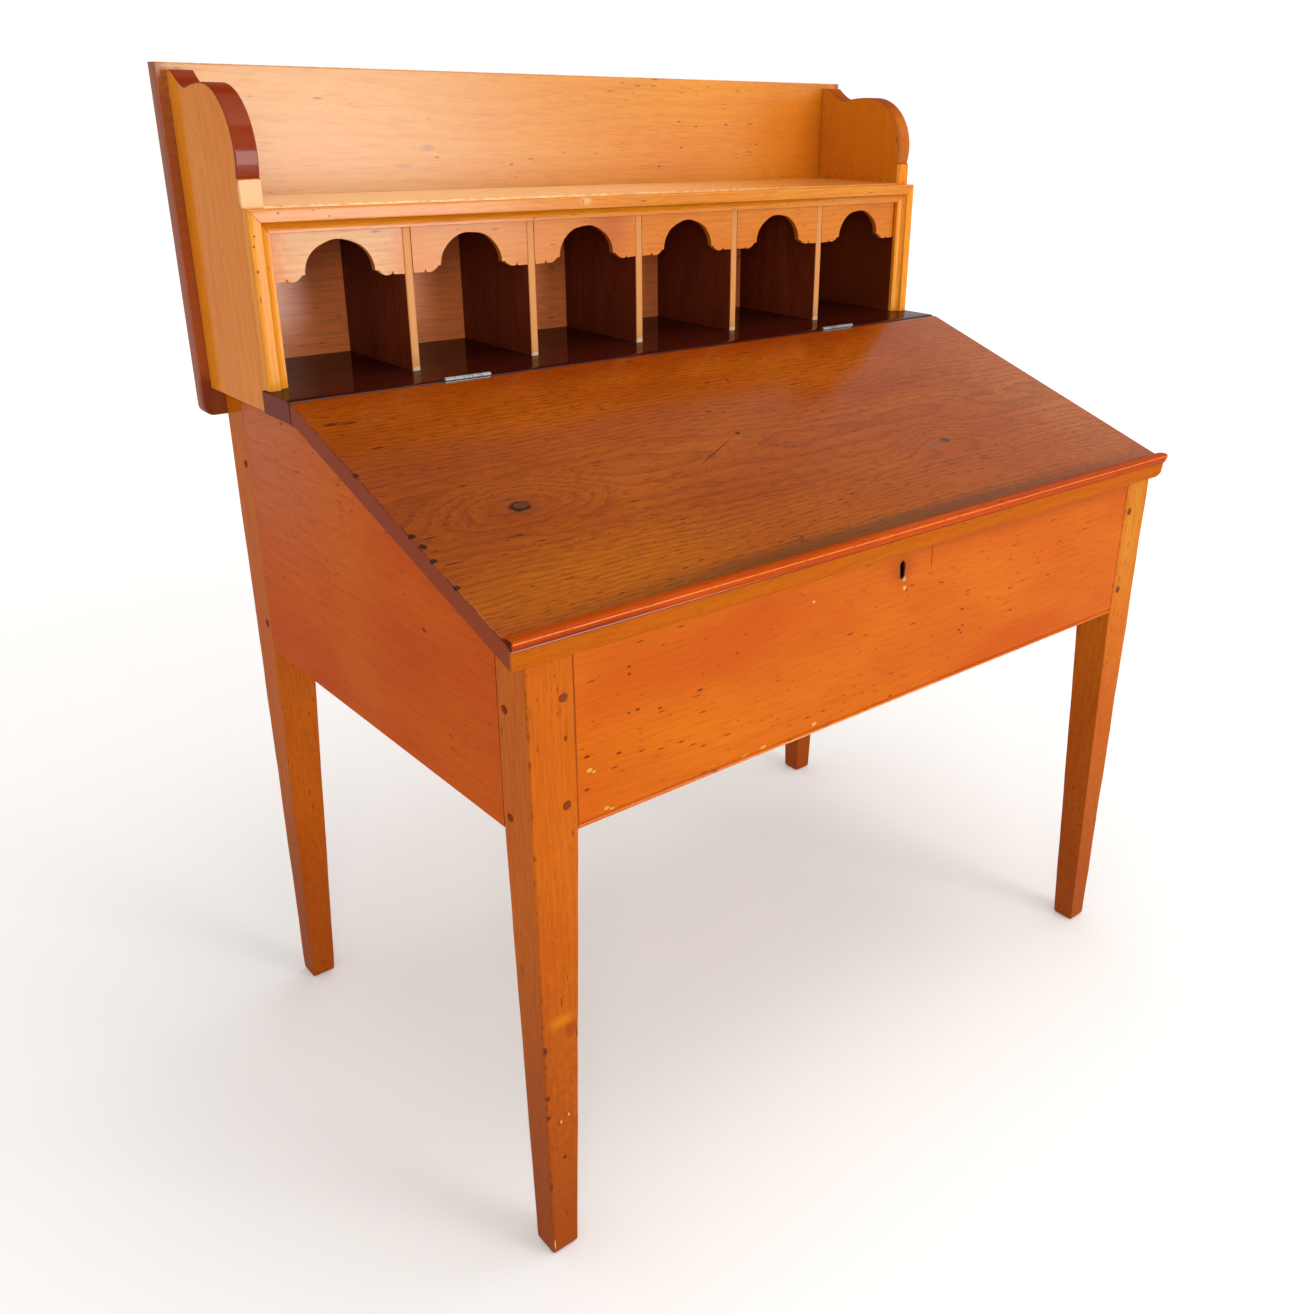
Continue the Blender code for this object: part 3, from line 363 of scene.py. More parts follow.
APRON_SHADES = ("#CA6A08", "#B84E02", "#963A01", "#521A06", "#8A4018", "#BC5810")
APRON_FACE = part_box("front_apron")[0].y
PUTTY = "#D9A24E"
# Most marks are putty, pores and stains. The darker band along the upper apron, under the lid's edge, is a
# painted shade, so are the two near-black ovals in the keyhole, and the pale line along the bottom is a
# painted reflection on the bead
APRON_MARKS_AND_PAINTED_LIGHT = front_spots(APRON_FACE, 0.02, (
    (0.0, 0.692, 0.034, 0.030, "#8E3C06", 0.6, 0.9),
    (0.24, 0.711, 0.50, 0.019, "#9A4208", 0.55, 0.8),
    (-0.432, 0.583, 0.0075, 0.0052, "#9A5410", 0.7, 0.5),
    (-0.4335, 0.5845, 0.0046, 0.0030, PUTTY, 0.75, 0.5),
    (-0.4285, 0.5815, 0.0030, 0.0022, PUTTY, 0.75, 0.5),
    (-0.412, 0.535, 0.0085, 0.0042, "#9A5410", 0.6, 0.5),
    (-0.4145, 0.5362, 0.0042, 0.0024, PUTTY, 0.7, 0.5),
    (-0.4085, 0.5335, 0.0034, 0.0018, PUTTY, 0.7, 0.5),
    (-0.207, 0.533, 0.005, 0.003, PUTTY, 0.6, 0.4),
    (0.0045, 0.6775, 0.0032, 0.0036, "#B89488", 0.8, 0.5),
    (0.0060, 0.666, 0.0035, 0.0035, PUTTY, 0.85, 0.5),
    (0.0095, 0.663, 0.0030, 0.0018, "#6A2008", 0.8, 0.5),
)) + (
    ((0.0, APRON_FACE + 0.0125, 0.690), (0.0105, 0.0120, 0.022), "#0C0403", 1.0, 0.1),
) + front_spots(APRON_FACE, 0.02, (
    (0.0, 0.689, 0.0052, 0.0125, "#140604", 0.95, 0.2),
    (0.050, 0.695, 0.0012, 0.018, "#6A2008", 0.8, 0.4),
    (0.0, 0.5250, 0.60, 0.0034, "#EFB48C", 0.75, 0.9),
    (-0.449, 0.61, 0.0026, 0.20, "#702806", 0.7, 0.6),
    (-0.140, 0.6848, 0.0024, 0.0016, "#E8BC94", 0.75, 0.5),
    (-0.1306, 0.5369, 0.0045, 0.0028, PUTTY, 0.7, 0.4),
    (-0.2335, 0.5317, 0.0060, 0.0030, "#C8883C", 0.6, 0.5),
)) + front_spots(APRON_FACE, 0.02, [
    (x, z, long, 0.0017, "#4E1A08", 0.85, 0.5)
    for x, z, long in ((-0.3987, 0.5914, 0.0050), (-0.4361, 0.5998, 0.0045), (-0.3853, 0.6790, 0.0026),
                       (-0.3850, 0.6715, 0.0026), (-0.3860, 0.6305, 0.0024), (-0.3755, 0.6310, 0.0034),
                       (-0.3482, 0.6241, 0.0030), (-0.2971, 0.6284, 0.0050), (-0.4372, 0.5645, 0.0046),
                       (0.1140, 0.5864, 0.0040), (0.1200, 0.5910, 0.0026), (0.1180, 0.5820, 0.0034),
                       (0.2142, 0.5876, 0.0040), (-0.0049, 0.5334, 0.0040), (0.1158, 0.6134, 0.0050))
])


def dress(material, *names):
    """Gives CAD nodes whose shape is right a finished material."""
    for name in names:
        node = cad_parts[name]
        node.data.materials.clear()
        node.data.materials.append(material)


apron_pine = pine("pine_apron_planed_shellac", "x", APRON_SHADES, heart=(-0.40, 0.50), ring=0.0075,
                  figure=0.13, fibres=0.3, pores=0.60, marks=APRON_MARKS_AND_PAINTED_LIGHT)
dress(apron_pine, "front_apron")


# Side panels and back panel
# Boards as wide as the box is deep, tenoned into the legs, their upper edge cut along the lid and the deck.
# The polish has gone browner than on the front, and the grain runs level with a slow flame in it.

SIDE_SHADES = ("#CA5C0A", "#C04A04", "#983803", "#501C08", "#7A3A20", "#8A3A10")
# The first wash, pale and pinkish over the upper part of the left panel, is a painted sheen
SIDE_WASHES_AND_SHEEN = (
    ((-0.49, 0.26, 0.84), (0.05, 0.36, 0.26), "#C27A54", 0.55, 0.9),
    ((-0.49, 0.02, 0.70), (0.05, 0.10, 0.40), "#CC6A18", 0.35, 0.9),
)
SIDE_MARKS = (
    ((-0.499, -0.1448, 0.6864), (0.006, 0.0070, 0.0026), "#52222A", 0.8, 0.5),
    ((-0.499, 0.0185, 0.8029), (0.006, 0.0035, 0.0016), "#5A2410", 0.7, 0.5),
)
side_pine = pine("pine_side_planed_shellac", "y", SIDE_SHADES, heart=(0.42, 0.58), ring=0.013, figure=0.14,
                 fibres=0.35, pores=0.2, washes=SIDE_WASHES_AND_SHEEN, marks=SIDE_MARKS, coat=0.12)
back_pine = pine("pine_back_planed_shellac", "x", SIDE_SHADES, heart=(0.25, 0.62), ring=0.011, figure=0.2,
                 pores=0.2, coat=0.12)
dress(side_pine, "side_panel_left", "side_panel_right")
dress(back_pine, "back_panel")


# Pegs
# Riven hardwood pins driven through each mortise and tenon, two to a joint, and pared off just proud.
# They have shrunk a little out of round, drunk in more polish than the pine, and stand out dark and red.

PEG_RADIUS = 0.0047
PEG_EDGE = 0.0006
PEG_SHADES = ("#8E3E16", "#7E300E", "#5A1E08", "#3A1208", "#82320E", "#5A1E08")
peg_wood = pine("hardwood_peg_pared_shellac", "x", PEG_SHADES, heart=(0.0, 0.0), ring=0.0016, figure=0.4,
                pores=0.1)
turn = np.linspace(0, 2 * math.pi, 20, endpoint=False)
pegs, peg_nodes = [], [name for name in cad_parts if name.startswith("peg_")]
for count, name in enumerate(peg_nodes):
    low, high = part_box(name)
    middle, size = (low + high) / 2, high - low
    along = max(range(3), key=lambda i: size[i])
    following = [(along + 1) % 3, (along + 2) % 3]
    whittled = PEG_RADIUS * (1 + 0.05 * np.cos(2 * turn + count) + 0.04 * np.cos(5 * turn + 3 * count))
    across, over = middle[following[0]], middle[following[1]]
    loop = np.stack([across + whittled * np.cos(turn), over + whittled * np.sin(turn)], -1)
    pegs.append(lengthways(np.linspace(low[along], high[along], 3), loop, PEG_EDGE, "xyz"[along]))
peg_piece = skin("pegs", peg_wood, *pegs)
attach(peg_piece, "desk")
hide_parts(*peg_nodes)


# Bottom of the box
# A thin board laid on four cleats that are nailed round the inside of the box, near its lower edge.
# Nobody polished it: bare sawn pine, greyed and dusty.

RAW_SHADES = ("#B98A58", "#A5754A", "#84552F", "#4A2C18", "#7A5436", "#8A6038")
raw_pine = pine("pine_bare_sawn", "x", RAW_SHADES, heart=(0.10, 0.30), figure=0.5, pores=0.25, coat=0.0,
                gloss=0.5)
dress(raw_pine, "case_bottom", "cleat_left", "cleat_right", "cleat_front", "cleat_back")


# Deck
# A fixed level board behind the hinge line, which is also the floor of the pigeonholes. Its front strip is as
# wide as the lid and its front arris is worn hollow by hands; polished nearly black with grime and shellac.

DECK_SHADES = ("#46160A", "#360D06", "#2A0A04", "#1E0804", "#7E382C", "#3A1006")
HINGE_XS = (-0.304, 0.304)
HINGE_HALF = 0.0303
LEAF_POCKET = 0.00205
DECK_ARRIS = np.array([[0.001, 0.001], [0.001, 0.001], [0.0008, 0.0008], [0.010, 0.0034]])
DECK_EDGE = 0.0012
SLACK = 0.0003
STEP = 0.0001
deck_pine = pine("pine_deck_dark_shellac", "x", DECK_SHADES, heart=(0.30, 0.70), ring=0.007, figure=0.2,
                 pores=0.15, coat=0.42, gloss=0.06)
low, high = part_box("deck")
side_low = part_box("gallery_side_right")[0]
inner, strip_back = side_low.x - SLACK, side_low.y - SLACK
HINGE_ENDS = [hinge + end * HINGE_HALF for hinge in HINGE_XS for end in (-1, 1)]


def leaf_pocket(x):
    """Depth of the hinge leaves' pockets: LEAF_POCKET within half a hinge of a hinge's middle, else 0."""
    return LEAF_POCKET * (np.abs(np.abs(x) - HINGE_XS[1]) < HINGE_HALF)


steps = np.array([*HINGE_ENDS, -inner, inner])
x = np.sort(np.concatenate([np.linspace(low.x, high.x, 61), steps - STEP, steps + STEP]))
front, back = low.y + leaf_pocket(x), np.where(np.abs(x) < inner, high.y, strip_back)
y = np.stack([front, back, back, front], 1)
corners = np.stack(np.broadcast_arrays(y, [low.z, low.z, high.z, high.z]), -1)
deck = skin("deck_board", deck_pine, lengthways(x, corners, DECK_EDGE, reach=DECK_ARRIS, steps=6))
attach(deck, "desk")
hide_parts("deck")


# Lid
# The sloping writing board, one wide plank of figured pine with two knots, planed, scratched and inked, its
# edges dark and dented. Its upper face runs on from the deck; pockets below take the strike and the bolt.

LID_SHADES = ("#AA560C", "#944008", "#5E2405", "#3A1408", "#8A3A22", "#5A1E0A")
LID_T = 0.022 / math.cos(LID_SLOPE)
low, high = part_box("hinge_left_pin")
HINGE_Y, HINGE_Z = (low.y + high.y) / 2, (low.z + high.z) / 2
LID_TOP = 0.876
CORNER_WORN = (0.017, 0.011)
CORNER_CLEAR = 0.0025
LID_ARRIS = np.array([[0.0018], [0.0012], [0.0012], [0.0012]])
LID_BACK_WEAR = (0.0034, 0.0060)
LID_END_WEAR = 0.0016
low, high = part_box("lid")
LID_FRONT = low.y


def lid_face(y):
    """Height of the lid's upper face: the deck's height, less the slope times the way to the hinge."""
    return LID_TOP - (HINGE_Y - y) * math.tan(LID_SLOPE)


def on_lid(rows):
    """Knots or ovals on the lid's upper face: each row's x and y, then its other values as they are."""
    return tuple(((x, y, float(lid_face(y))), *rest) for x, y, *rest in rows)


LID_EDGE = ((0.0, LID_FRONT, 0.724), (0.70, 0.0050, 0.03), "#B25806")
LID_KNOTS = on_lid((
    (-0.389, -0.153, (0.16, 0.055, 0.055), 0.024),
    (0.214, -0.201, (0.13, 0.045, 0.045), 0.018),
))
# The pale brown wash over the right part of the lid is a painted sheen
LID_WASHES_AND_SHEEN = on_lid((
    (-0.50, -0.10, (0.24, 0.34, 0.20), "#7C3006", 0.55, 0.9),
    (0.03, 0.085, (0.68, 0.075, 0.06), "#822A04", 0.65, 0.9),
    (-0.36, -0.27, (0.26, 0.09, 0.06), "#B4620A", 0.6, 0.9),
    (0.52, -0.12, (0.22, 0.42, 0.30), "#B86A34", 0.45, 0.9),
)) + ((*LID_EDGE, 0.92, 0.2),)
LID_MARKS = on_lid((
    (-0.389, -0.155, (0.034, 0.022, 0.02), "#6E3810", 0.5, 0.8),
    (-0.390, -0.156, (0.0150, 0.0095, 0.02), "#2A0E06", 0.95, 0.30),
    (-0.388, -0.155, (0.0115, 0.0062, 0.02), "#5E3814", 0.85, 0.40),
    (0.214, -0.201, (0.010, 0.007, 0.02), "#3A2410", 0.9, 0.5),
    (0.190, -0.205, (0.040, 0.014, 0.02), "#8A4A28", 0.5, 0.8),
    (0.0, -0.316, (0.60, 0.022, 0.03), "#57330F", 0.7, 0.8),
    (-0.516, -0.166, (0.0060, 0.0050, 0.004), "#240A04", 0.9, 0.5),
    (-0.514, -0.184, (0.0050, 0.0060, 0.004), "#240A04", 0.9, 0.5),
    (-0.516, -0.206, (0.0055, 0.0045, 0.004), "#240A04", 0.9, 0.5),
    (-0.517, -0.247, (0.0050, 0.0050, 0.004), "#240A04", 0.9, 0.5),
    (-0.517, -0.060, (0.0045, 0.0060, 0.004), "#3A1208", 0.8, 0.5),
    (-0.502, -0.174, (0.0130, 0.0014, 0.010), "#3A1006", 0.85, 0.6),
    (-0.500, -0.215, (0.0150, 0.0012, 0.010), "#3A1006", 0.85, 0.6),
    (-0.480, 0.030, (0.014, 0.005, 0.02), "#4A1608", 0.6, 0.7),
    (-0.110, -0.1325, (0.060, 0.0012, 0.04), "#4A1C0C", 0.75, 0.5, 25),
    (-0.057, -0.108, (0.004, 0.004, 0.02), "#2E1008", 0.85, 0.5),
    (0.02, 0.0, (0.002, 0.007, 0.02), "#3A1208", 0.7, 0.5),
    (-0.498, 0.0312, (0.010, 0.0030, 0.02), "#42140A", 0.8, 0.5),
    (-0.4722, -0.0213, (0.008, 0.0022, 0.02), "#42140A", 0.8, 0.5),
    (-0.0128, 0.0003, (0.006, 0.0016, 0.02), "#42140A", 0.8, 0.5),
    (-0.0600, -0.0580, (0.007, 0.0016, 0.02), "#42140A", 0.8, 0.5),
    (-0.0400, -0.0640, (0.005, 0.0016, 0.02), "#42140A", 0.8, 0.5),
    (-0.4170, -0.1974, (0.006, 0.0020, 0.02), "#42140A", 0.8, 0.5),
)) + ((*LID_EDGE, 0.55, 0.2),)
lid_pine = pine("pine_lid_planed_shellac", "x", LID_SHADES, heart=(-0.10, 0.66), ring=0.0048, figure=0.34,
                fibres=0.68, fibre_size=(0.021, 0.0015), pores=0.44, knots=LID_KNOTS, washes=LID_WASHES_AND_SHEEN,
                marks=LID_MARKS, coat=0.4, edge_coat=0.3, gloss=0.14)
strike_low, strike_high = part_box("lid_strike")
bolt_low, bolt_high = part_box("lock_bolt")
BOLT_ROOM = 0.0018
BOLT_RISE = 0.0128
STRIKE_DEEP = 0.0024
strike_x, bolt_x = strike_high.x + SLACK, bolt_high.x + BOLT_ROOM
steps = np.array([*HINGE_ENDS, -strike_x, strike_x, -bolt_x, bolt_x])
near_corner = high.x - np.linspace(CORNER_WORN[0], CORNER_CLEAR, 10)
x = np.sort(np.concatenate([np.linspace(low.x, high.x, 81), near_corner, steps - STEP, steps + STEP]))
front, back = np.full_like(x, low.y), high.y - leaf_pocket(x)
round_off = np.clip((x - high.x + CORNER_WORN[0]) / CORNER_WORN[0], 0, 1)[:, None]
worn_off = CORNER_WORN[1] * (1 - np.sqrt(1 - round_off**2))
y = np.stack([front, back, back, front], 1)
corners = np.stack([y, lid_face(y) - LID_T * np.array([1, 1, 0, 0]) + worn_off * (1, 0, 0, 0)], -1)
nicks = 1 + 0.25 * np.sin(61 * x) + 0.2 * np.sin(143 * x + 1)
reach = np.broadcast_to(nicks[:, None, None] * LID_ARRIS, corners.shape).copy()
reach[:, 2] = LID_BACK_WEAR
rings, wear = lengthways(x, corners, LID_END_WEAR, reach=reach, steps=6)

# The front edge, whose film is thin, has a wear of -1; the pockets are let into the underside
x, block = rings[:, 0, 0], rings.shape[1] // 4
wear[:, :block] = wear[:, -1:] = -1
strike_y = (strike_low.y - SLACK, strike_high.y + SLACK)
bolt_y = (bolt_low.y - BOLT_ROOM, bolt_high.y + BOLT_ROOM)
pocket_y = np.array([strike_y[0], strike_y[0] + STEP, bolt_y[0], bolt_y[0] + STEP,
                     bolt_y[1] - STEP, bolt_y[1], strike_y[1] - STEP, strike_y[1]])
in_strike = (np.abs(x) < strike_x)[:, None] * np.array([0, 1, 1, 1, 1, 1, 1, 0])
in_bolt = (np.abs(x) < bolt_x)[:, None] * np.array([0, 0, 0, 1, 1, 0, 0, 0])
thick = lid_face(rings[:, block, 1]) - rings[:, block, 2]
under = lid_face(pocket_y) - thick[:, None] + np.maximum(STRIKE_DEEP * in_strike, BOLT_RISE * in_bolt)
pocket = np.stack(np.broadcast_arrays(x[:, None], pocket_y, under), -1)
rings = np.concatenate([rings[:, :block], pocket, rings[:, block:]], axis=1)
wear = np.concatenate([wear[:, :block], np.zeros(under.shape), wear[:, block:]], axis=1)
lid = skin("lid_board", lid_pine, (rings, wear))
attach(lid, "lid")
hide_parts("lid")


# Pencil stop
# A rounded strip glued and pinned along the lid's front edge, over which it laps a little, to hold papers;
# red-orange and glossy, and the bright line along its crest is a painted highlight in the pale last shade.

# The last, pale shade is the painted highlight along the crest
LIP_SHADES_AND_HIGHLIGHT = ("#C04C0A", "#AC3E06", "#802804", "#3C1006", "#2A0E08", "#F09048")
LIP_BASE = lid_face(LID_FRONT)
LIP_WASHES = (((-0.45, LID_FRONT - 0.002, LIP_BASE - 0.001), (0.16, 0.006, 0.0045), "#6E2418", 0.75, 0.8),)
# The dark line at the foot of the stop, where it meets the lid's edge, is a painted shadow; the thin
# grey-white line just above it, along the left half, is a painted glint
LIP_PAINTED_SHADOW_AND_GLINT = (
    ((0.0, LID_FRONT - 0.002, LIP_BASE - 0.0040), (0.70, 0.02, 0.0012), "#4A1606", 0.85, 0.6),
    ((-0.46, LID_FRONT - 0.003, LIP_BASE - 0.0028), (0.34, 0.006, 0.0007), "#B49A94", 0.8, 0.6),
)
lip_pine = pine("pine_stop_moulded_shellac", "x", LIP_SHADES_AND_HIGHLIGHT, heart=(-0.36, 0.74), ring=0.004, pores=0.2,
                washes=LIP_WASHES, marks=LIP_PAINTED_SHADOW_AND_GLINT, rub=(0.2, 0.45), coat=0.12, gloss=0.07)
LIP_CREST_R = 0.0030
LIP_CREST_UP = 0.0080
LIP_LAP = 0.0036
LIP_FOOT_T = 0.0012
LIP_FALL_END = 0.015
LIP_SWELL = 0.0016
LIP_GAP = 0.0002
# The crest's pale line is a painted highlight: the last shade laid in a narrow band about one point of the
# profile
LIP_HIGHLIGHT, HIGHLIGHT_SPREAD, HIGHLIGHT_AT = 0.9, 2.4, 9
lap_at = -LIP_GAP - LIP_LAP * math.tan(LID_SLOPE)
foot = np.array([[0.0, SLACK], [lap_at, -LIP_LAP], [lap_at - LIP_FOOT_T, -LIP_LAP]])
turn = np.radians(np.linspace(188, 90, 25))
crest = np.stack([LIP_CREST_R * np.cos(turn), LIP_CREST_UP - LIP_CREST_R * (1 - np.sin(turn))], -1)
t = np.linspace(0, 1, 9)[1:-1, None]
face = (1 - t) * foot[-1] + t * crest[0]
t = np.linspace(0, 1, 13)[1:]
swell = 4 * LIP_SWELL * t * (1 - t)
fall = np.stack([LIP_FALL_END * t, SLACK + (LIP_CREST_UP - SLACK) * (1 - t) + swell], -1)
profile = np.concatenate([foot, face, crest, fall])
up_slope, off_face = profile[:, 0], profile[:, 1]
stop_y = low.y + up_slope * math.cos(LID_SLOPE) - off_face * math.sin(LID_SLOPE)
stop_z = lid_face(low.y) + up_slope * math.sin(LID_SLOPE) + off_face * math.cos(LID_SLOPE)
x = np.linspace(low.x, high.x, 60)[:, None]
highlight_most = len(foot) + len(face) + HIGHLIGHT_AT
lip_highlight = LIP_HIGHLIGHT * np.exp(-(((np.arange(len(profile)) - highlight_most) / HIGHLIGHT_SPREAD) ** 2))
lip = skin("lid_pencil_stop", lip_pine, (np.stack(np.broadcast_arrays(x, stop_y, stop_z), -1), lip_highlight))
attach(lip, "lid")
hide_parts("lid_lip")


# Hinges
# Two butt hinges of rolled steel, let in flush: only their barrels show as bright lines when the lid is shut.
# Three slotted screws hold each leaf; the steel is rubbed bright on the barrel and stained in the knuckles.

BARREL_R = 0.0027
KNUCKLES = 5
SCREW_R = 0.0028
SCREW_APART = 0.020
SCREW_RUN = (0.6, 0, 0.8)
LEAF_NEAR, LEAF_FAR = 0.00015, 0.00175
LEAF_DROP = 0.0024
LEAF_EDGE = 0.0003
KNUCKLE_EDGE = 0.0005
SLOT_HALF, RIM_UP, CROWN_UP, HEAD_SUNK = 0.14, 0.02, 0.03, 0.15


def metal(name, bright, stained, gloss):
    """Old rolled iron or steel. The eye sees brushed streaks a few millimetres long, which dull the shine,
    and brown stains in blotches of a centimetre."""
    material = bpy.data.materials.new(name)
    material.use_nodes = True
    tree = material.node_tree
    shader = tree.nodes["Principled BSDF"]
    place = add(tree, "TexCoord").outputs["Object"]
    drawn = add(tree, "VectorMath", {0: place, 1: (220.0, 2600.0, 2600.0)}, operation="MULTIPLY")
    streak = add(tree, "TexNoise", {"Vector": drawn, "Scale": 1.0, "Detail": 2.0}).outputs["Fac"]
    blotch = add(tree, "TexNoise", {"Vector": place, "Scale": 95.0, "Detail": 4.0}).outputs["Fac"]
    stain = add(tree, "MapRange", {"Value": blotch, "From Min": 0.48, "From Max": 0.68})
    colour = add(tree, "Mix", {0: stain, 6: linear(bright), 7: linear(stained)}, data_type="RGBA")
    rough = add(tree, "MapRange", {"Value": streak, "To Min": gloss, "To Max": gloss + 0.22})
    bump = add(tree, "Bump", {"Height": blotch, "Strength": 0.25, "Distance": 0.0003})
    tree.links.new(colour.outputs[2], shader.inputs["Base Color"])
    tree.links.new(rough.outputs[0], shader.inputs["Roughness"])
    tree.links.new(bump.outputs[0], shader.inputs["Normal"])
    shader.inputs["Metallic"].default_value = 1.0
    return material


def heads(name, material, slot_shade, centres, out, run, radius, slot=0.045):
    """Screw or nail heads in one mesh: a square grid bent to a disc and crowned a little, joined at its rim
    to a flat disc sunk in the piece. Each head stands on a centre and faces out; a screw's slot is sunk along
    run, and its floor takes the dark slot material, a painted shade. Heights and the slot are in parts of the
    radius."""
    half = np.array([0.13, 0.16, 0.3, 0.55, 0.8, 1])
    u, v = np.meshgrid(np.concatenate([-half[::-1], half]), np.linspace(-1, 1, 9), indexing="ij")
    across, down = u * np.sqrt(1 - v**2 / 2), v * np.sqrt(1 - u**2 / 2)
    crown = RIM_UP + CROWN_UP * (1 - across**2 - down**2) - slot * (np.abs(u) < SLOT_HALF)
    height = np.stack([crown, np.full_like(crown, -HEAD_SUNK)])
    out, run = np.array(out, float), np.array(run, float)
    shape = across[..., None] * np.cross(run, out) + down[..., None] * run + height[..., None] * out
    points = (np.array(centres)[:, None] + radius * shape.reshape(-1, 3)).reshape(-1, 3)
    grid = np.arange(u.size).reshape(u.shape)
    quads = np.stack([grid[:-1, :-1], grid[1:, :-1], grid[1:, 1:], grid[:-1, 1:]], -1).reshape(-1, 4)
    in_slot = np.abs(u.ravel()[quads]).max(axis=1) < SLOT_HALF
    rim = np.concatenate([grid[:-1, 0], grid[-1, :-1], grid[:0:-1, -1], grid[0, :0:-1]])
    onward = np.roll(rim, -1)
    wall = np.stack([rim + u.size, onward + u.size, onward, rim], -1)
    head = np.concatenate([quads, quads[:, ::-1] + u.size, wall])
    shaded_slot = np.concatenate([in_slot & (slot > 0), np.zeros(len(head) - len(quads), bool)])
    faces = (head + 2 * u.size * np.arange(len(centres))[:, None, None]).reshape(-1, 4)
    made = meshed(name, points, faces.tolist(), material, slot_shade)
    made.data.polygons.foreach_set("material_index", np.tile(shaded_slot, len(centres)).astype(np.int32))
    return made


def oblong(low, high):
    """The four corners of a rectangle, from its low and its high corner."""
    return np.array([low, (high[0], low[1]), high, (low[0], high[1])])


hinge_steel = metal("steel_rolled_rubbed_bright", "#929494", "#7C7872", 0.40)
# The slots' floors are dark iron, a painted shade: the slots are too shallow to shade themselves
slot_shade_iron = metal("iron_slot_painted_shade", "#2A221C", "#1A1410", 0.6)
turn = np.linspace(0, 2 * math.pi, 28, endpoint=False)
barrel_loop = np.stack([HINGE_Y + BARREL_R * np.cos(turn), HINGE_Z + BARREL_R * np.sin(turn)], -1)
for hinge, side in zip(HINGE_XS, ("left", "right")):
    pitch = 2 * (HINGE_HALF - SLACK) / KNUCKLES
    edges = hinge - HINGE_HALF + SLACK + pitch * np.arange(KNUCKLES + 1)
    for board, first, facing in (("deck", 0, 1), ("lid", 1, -1)):
        plate_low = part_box(f"hinge_{side}_{board}_leaf")[0]
        near, far = sorted((HINGE_Y + facing * LEAF_NEAR, HINGE_Y + facing * LEAF_FAR))
        plate = oblong((near, plate_low.z), (far, HINGE_Z - LEAF_DROP))
        plate_x = np.linspace(edges[0], edges[-1], 3)
        stacks = [lengthways(plate_x, plate, LEAF_EDGE, reach=LEAF_EDGE, steps=2)]
        for k in range(first, KNUCKLES, 2):
            knuckle_x = np.linspace(edges[k] + STEP, edges[k + 1] - STEP, 3)
            stacks.append(lengthways(knuckle_x, barrel_loop, KNUCKLE_EDGE))
        leaf = skin(f"hinge_{side}_{board}_rolled_leaf", hinge_steel, *stacks)
        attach(leaf, "desk" if board == "deck" else "lid")
        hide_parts(f"hinge_{side}_{board}_leaf")
        middle_z = (plate_low.z + HINGE_Z - LEAF_DROP) / 2
        centres = [(hinge + k * SCREW_APART, HINGE_Y + facing * LEAF_NEAR, middle_z) for k in (-1, 0, 1)]
        leaf_screws = heads(f"hinge_{side}_{board}_screws", hinge_steel, slot_shade_iron, centres, (0, -facing, 0),
                            SCREW_RUN, SCREW_R)
        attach(leaf_screws, "desk" if board == "deck" else "lid")
    dress(hinge_steel, f"hinge_{side}_pin")


# Lock
# An iron box lock let into the back of the apron and screwed there, its bolt rising into a steel strike
# screwed to the lid. The case is dull and brown with age; bolt and strike are rubbed where they meet.

BOLT_EDGE, BOLT_ARRIS = 0.0006, 0.0007
CASE_SCREW_X = 0.026
CASE_SCREW_IN = 0.006
CASE_SCREW_R = 0.003
STRIKE_SCREW_AT = 0.75
lock_iron = metal("iron_sheet_aged", "#4A423C", "#30241C", 0.42)
bolt_steel = metal("steel_bolt_rubbed", "#A8A49A", "#6A5A4A", 0.28)
dress(lock_iron, "lock_case")
dress(bolt_steel, "lid_strike")
bolt_x = np.linspace(bolt_low.x, bolt_high.x, 3)
filed = lengthways(bolt_x, oblong(bolt_low.yz, bolt_high.yz), BOLT_EDGE, reach=BOLT_ARRIS, steps=3)
bolt = skin("lock_bolt_filed", bolt_steel, filed)
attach(bolt, "lock_bolt")
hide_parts("lock_bolt")
case_low, case_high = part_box("lock_case")
screw_zs = (case_low.z + CASE_SCREW_IN, case_high.z - CASE_SCREW_IN)
case_screws = [(sign * CASE_SCREW_X, case_high.y, z) for sign in (-1, 1) for z in screw_zs]
lock_screws = heads("lock_case_screws", lock_iron, slot_shade_iron, case_screws, (0, 1, 0), (0.8, 0, 0.6),
                    CASE_SCREW_R)
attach(lock_screws, "desk")
middle_y = (strike_low.y + strike_high.y) / 2
strike_z = lid_face(middle_y) - LID_T
strike_screws = [(sign * STRIKE_SCREW_AT * strike_high.x, middle_y, strike_z) for sign in (-1, 1)]
lid_below = (0, math.sin(LID_SLOPE), -math.cos(LID_SLOPE))
strike_heads = heads("lid_strike_screws", bolt_steel, slot_shade_iron, strike_screws, lid_below, (1, 0, 0),
                     SCREW_R)
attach(strike_heads, "lid")


# Gallery sides
# Two upright boards whose tops are sawn to a scroll: a flat behind, a scoop, a long lobe and a small step to
# the square foot. The sawn edge is end grain, so it drinks the polish and shows much darker than the face.

GALLERY_SHADES = ("#E48C22", "#DC7A10", "#B8580A", "#642408", "#6C1C04", "#7C2402")
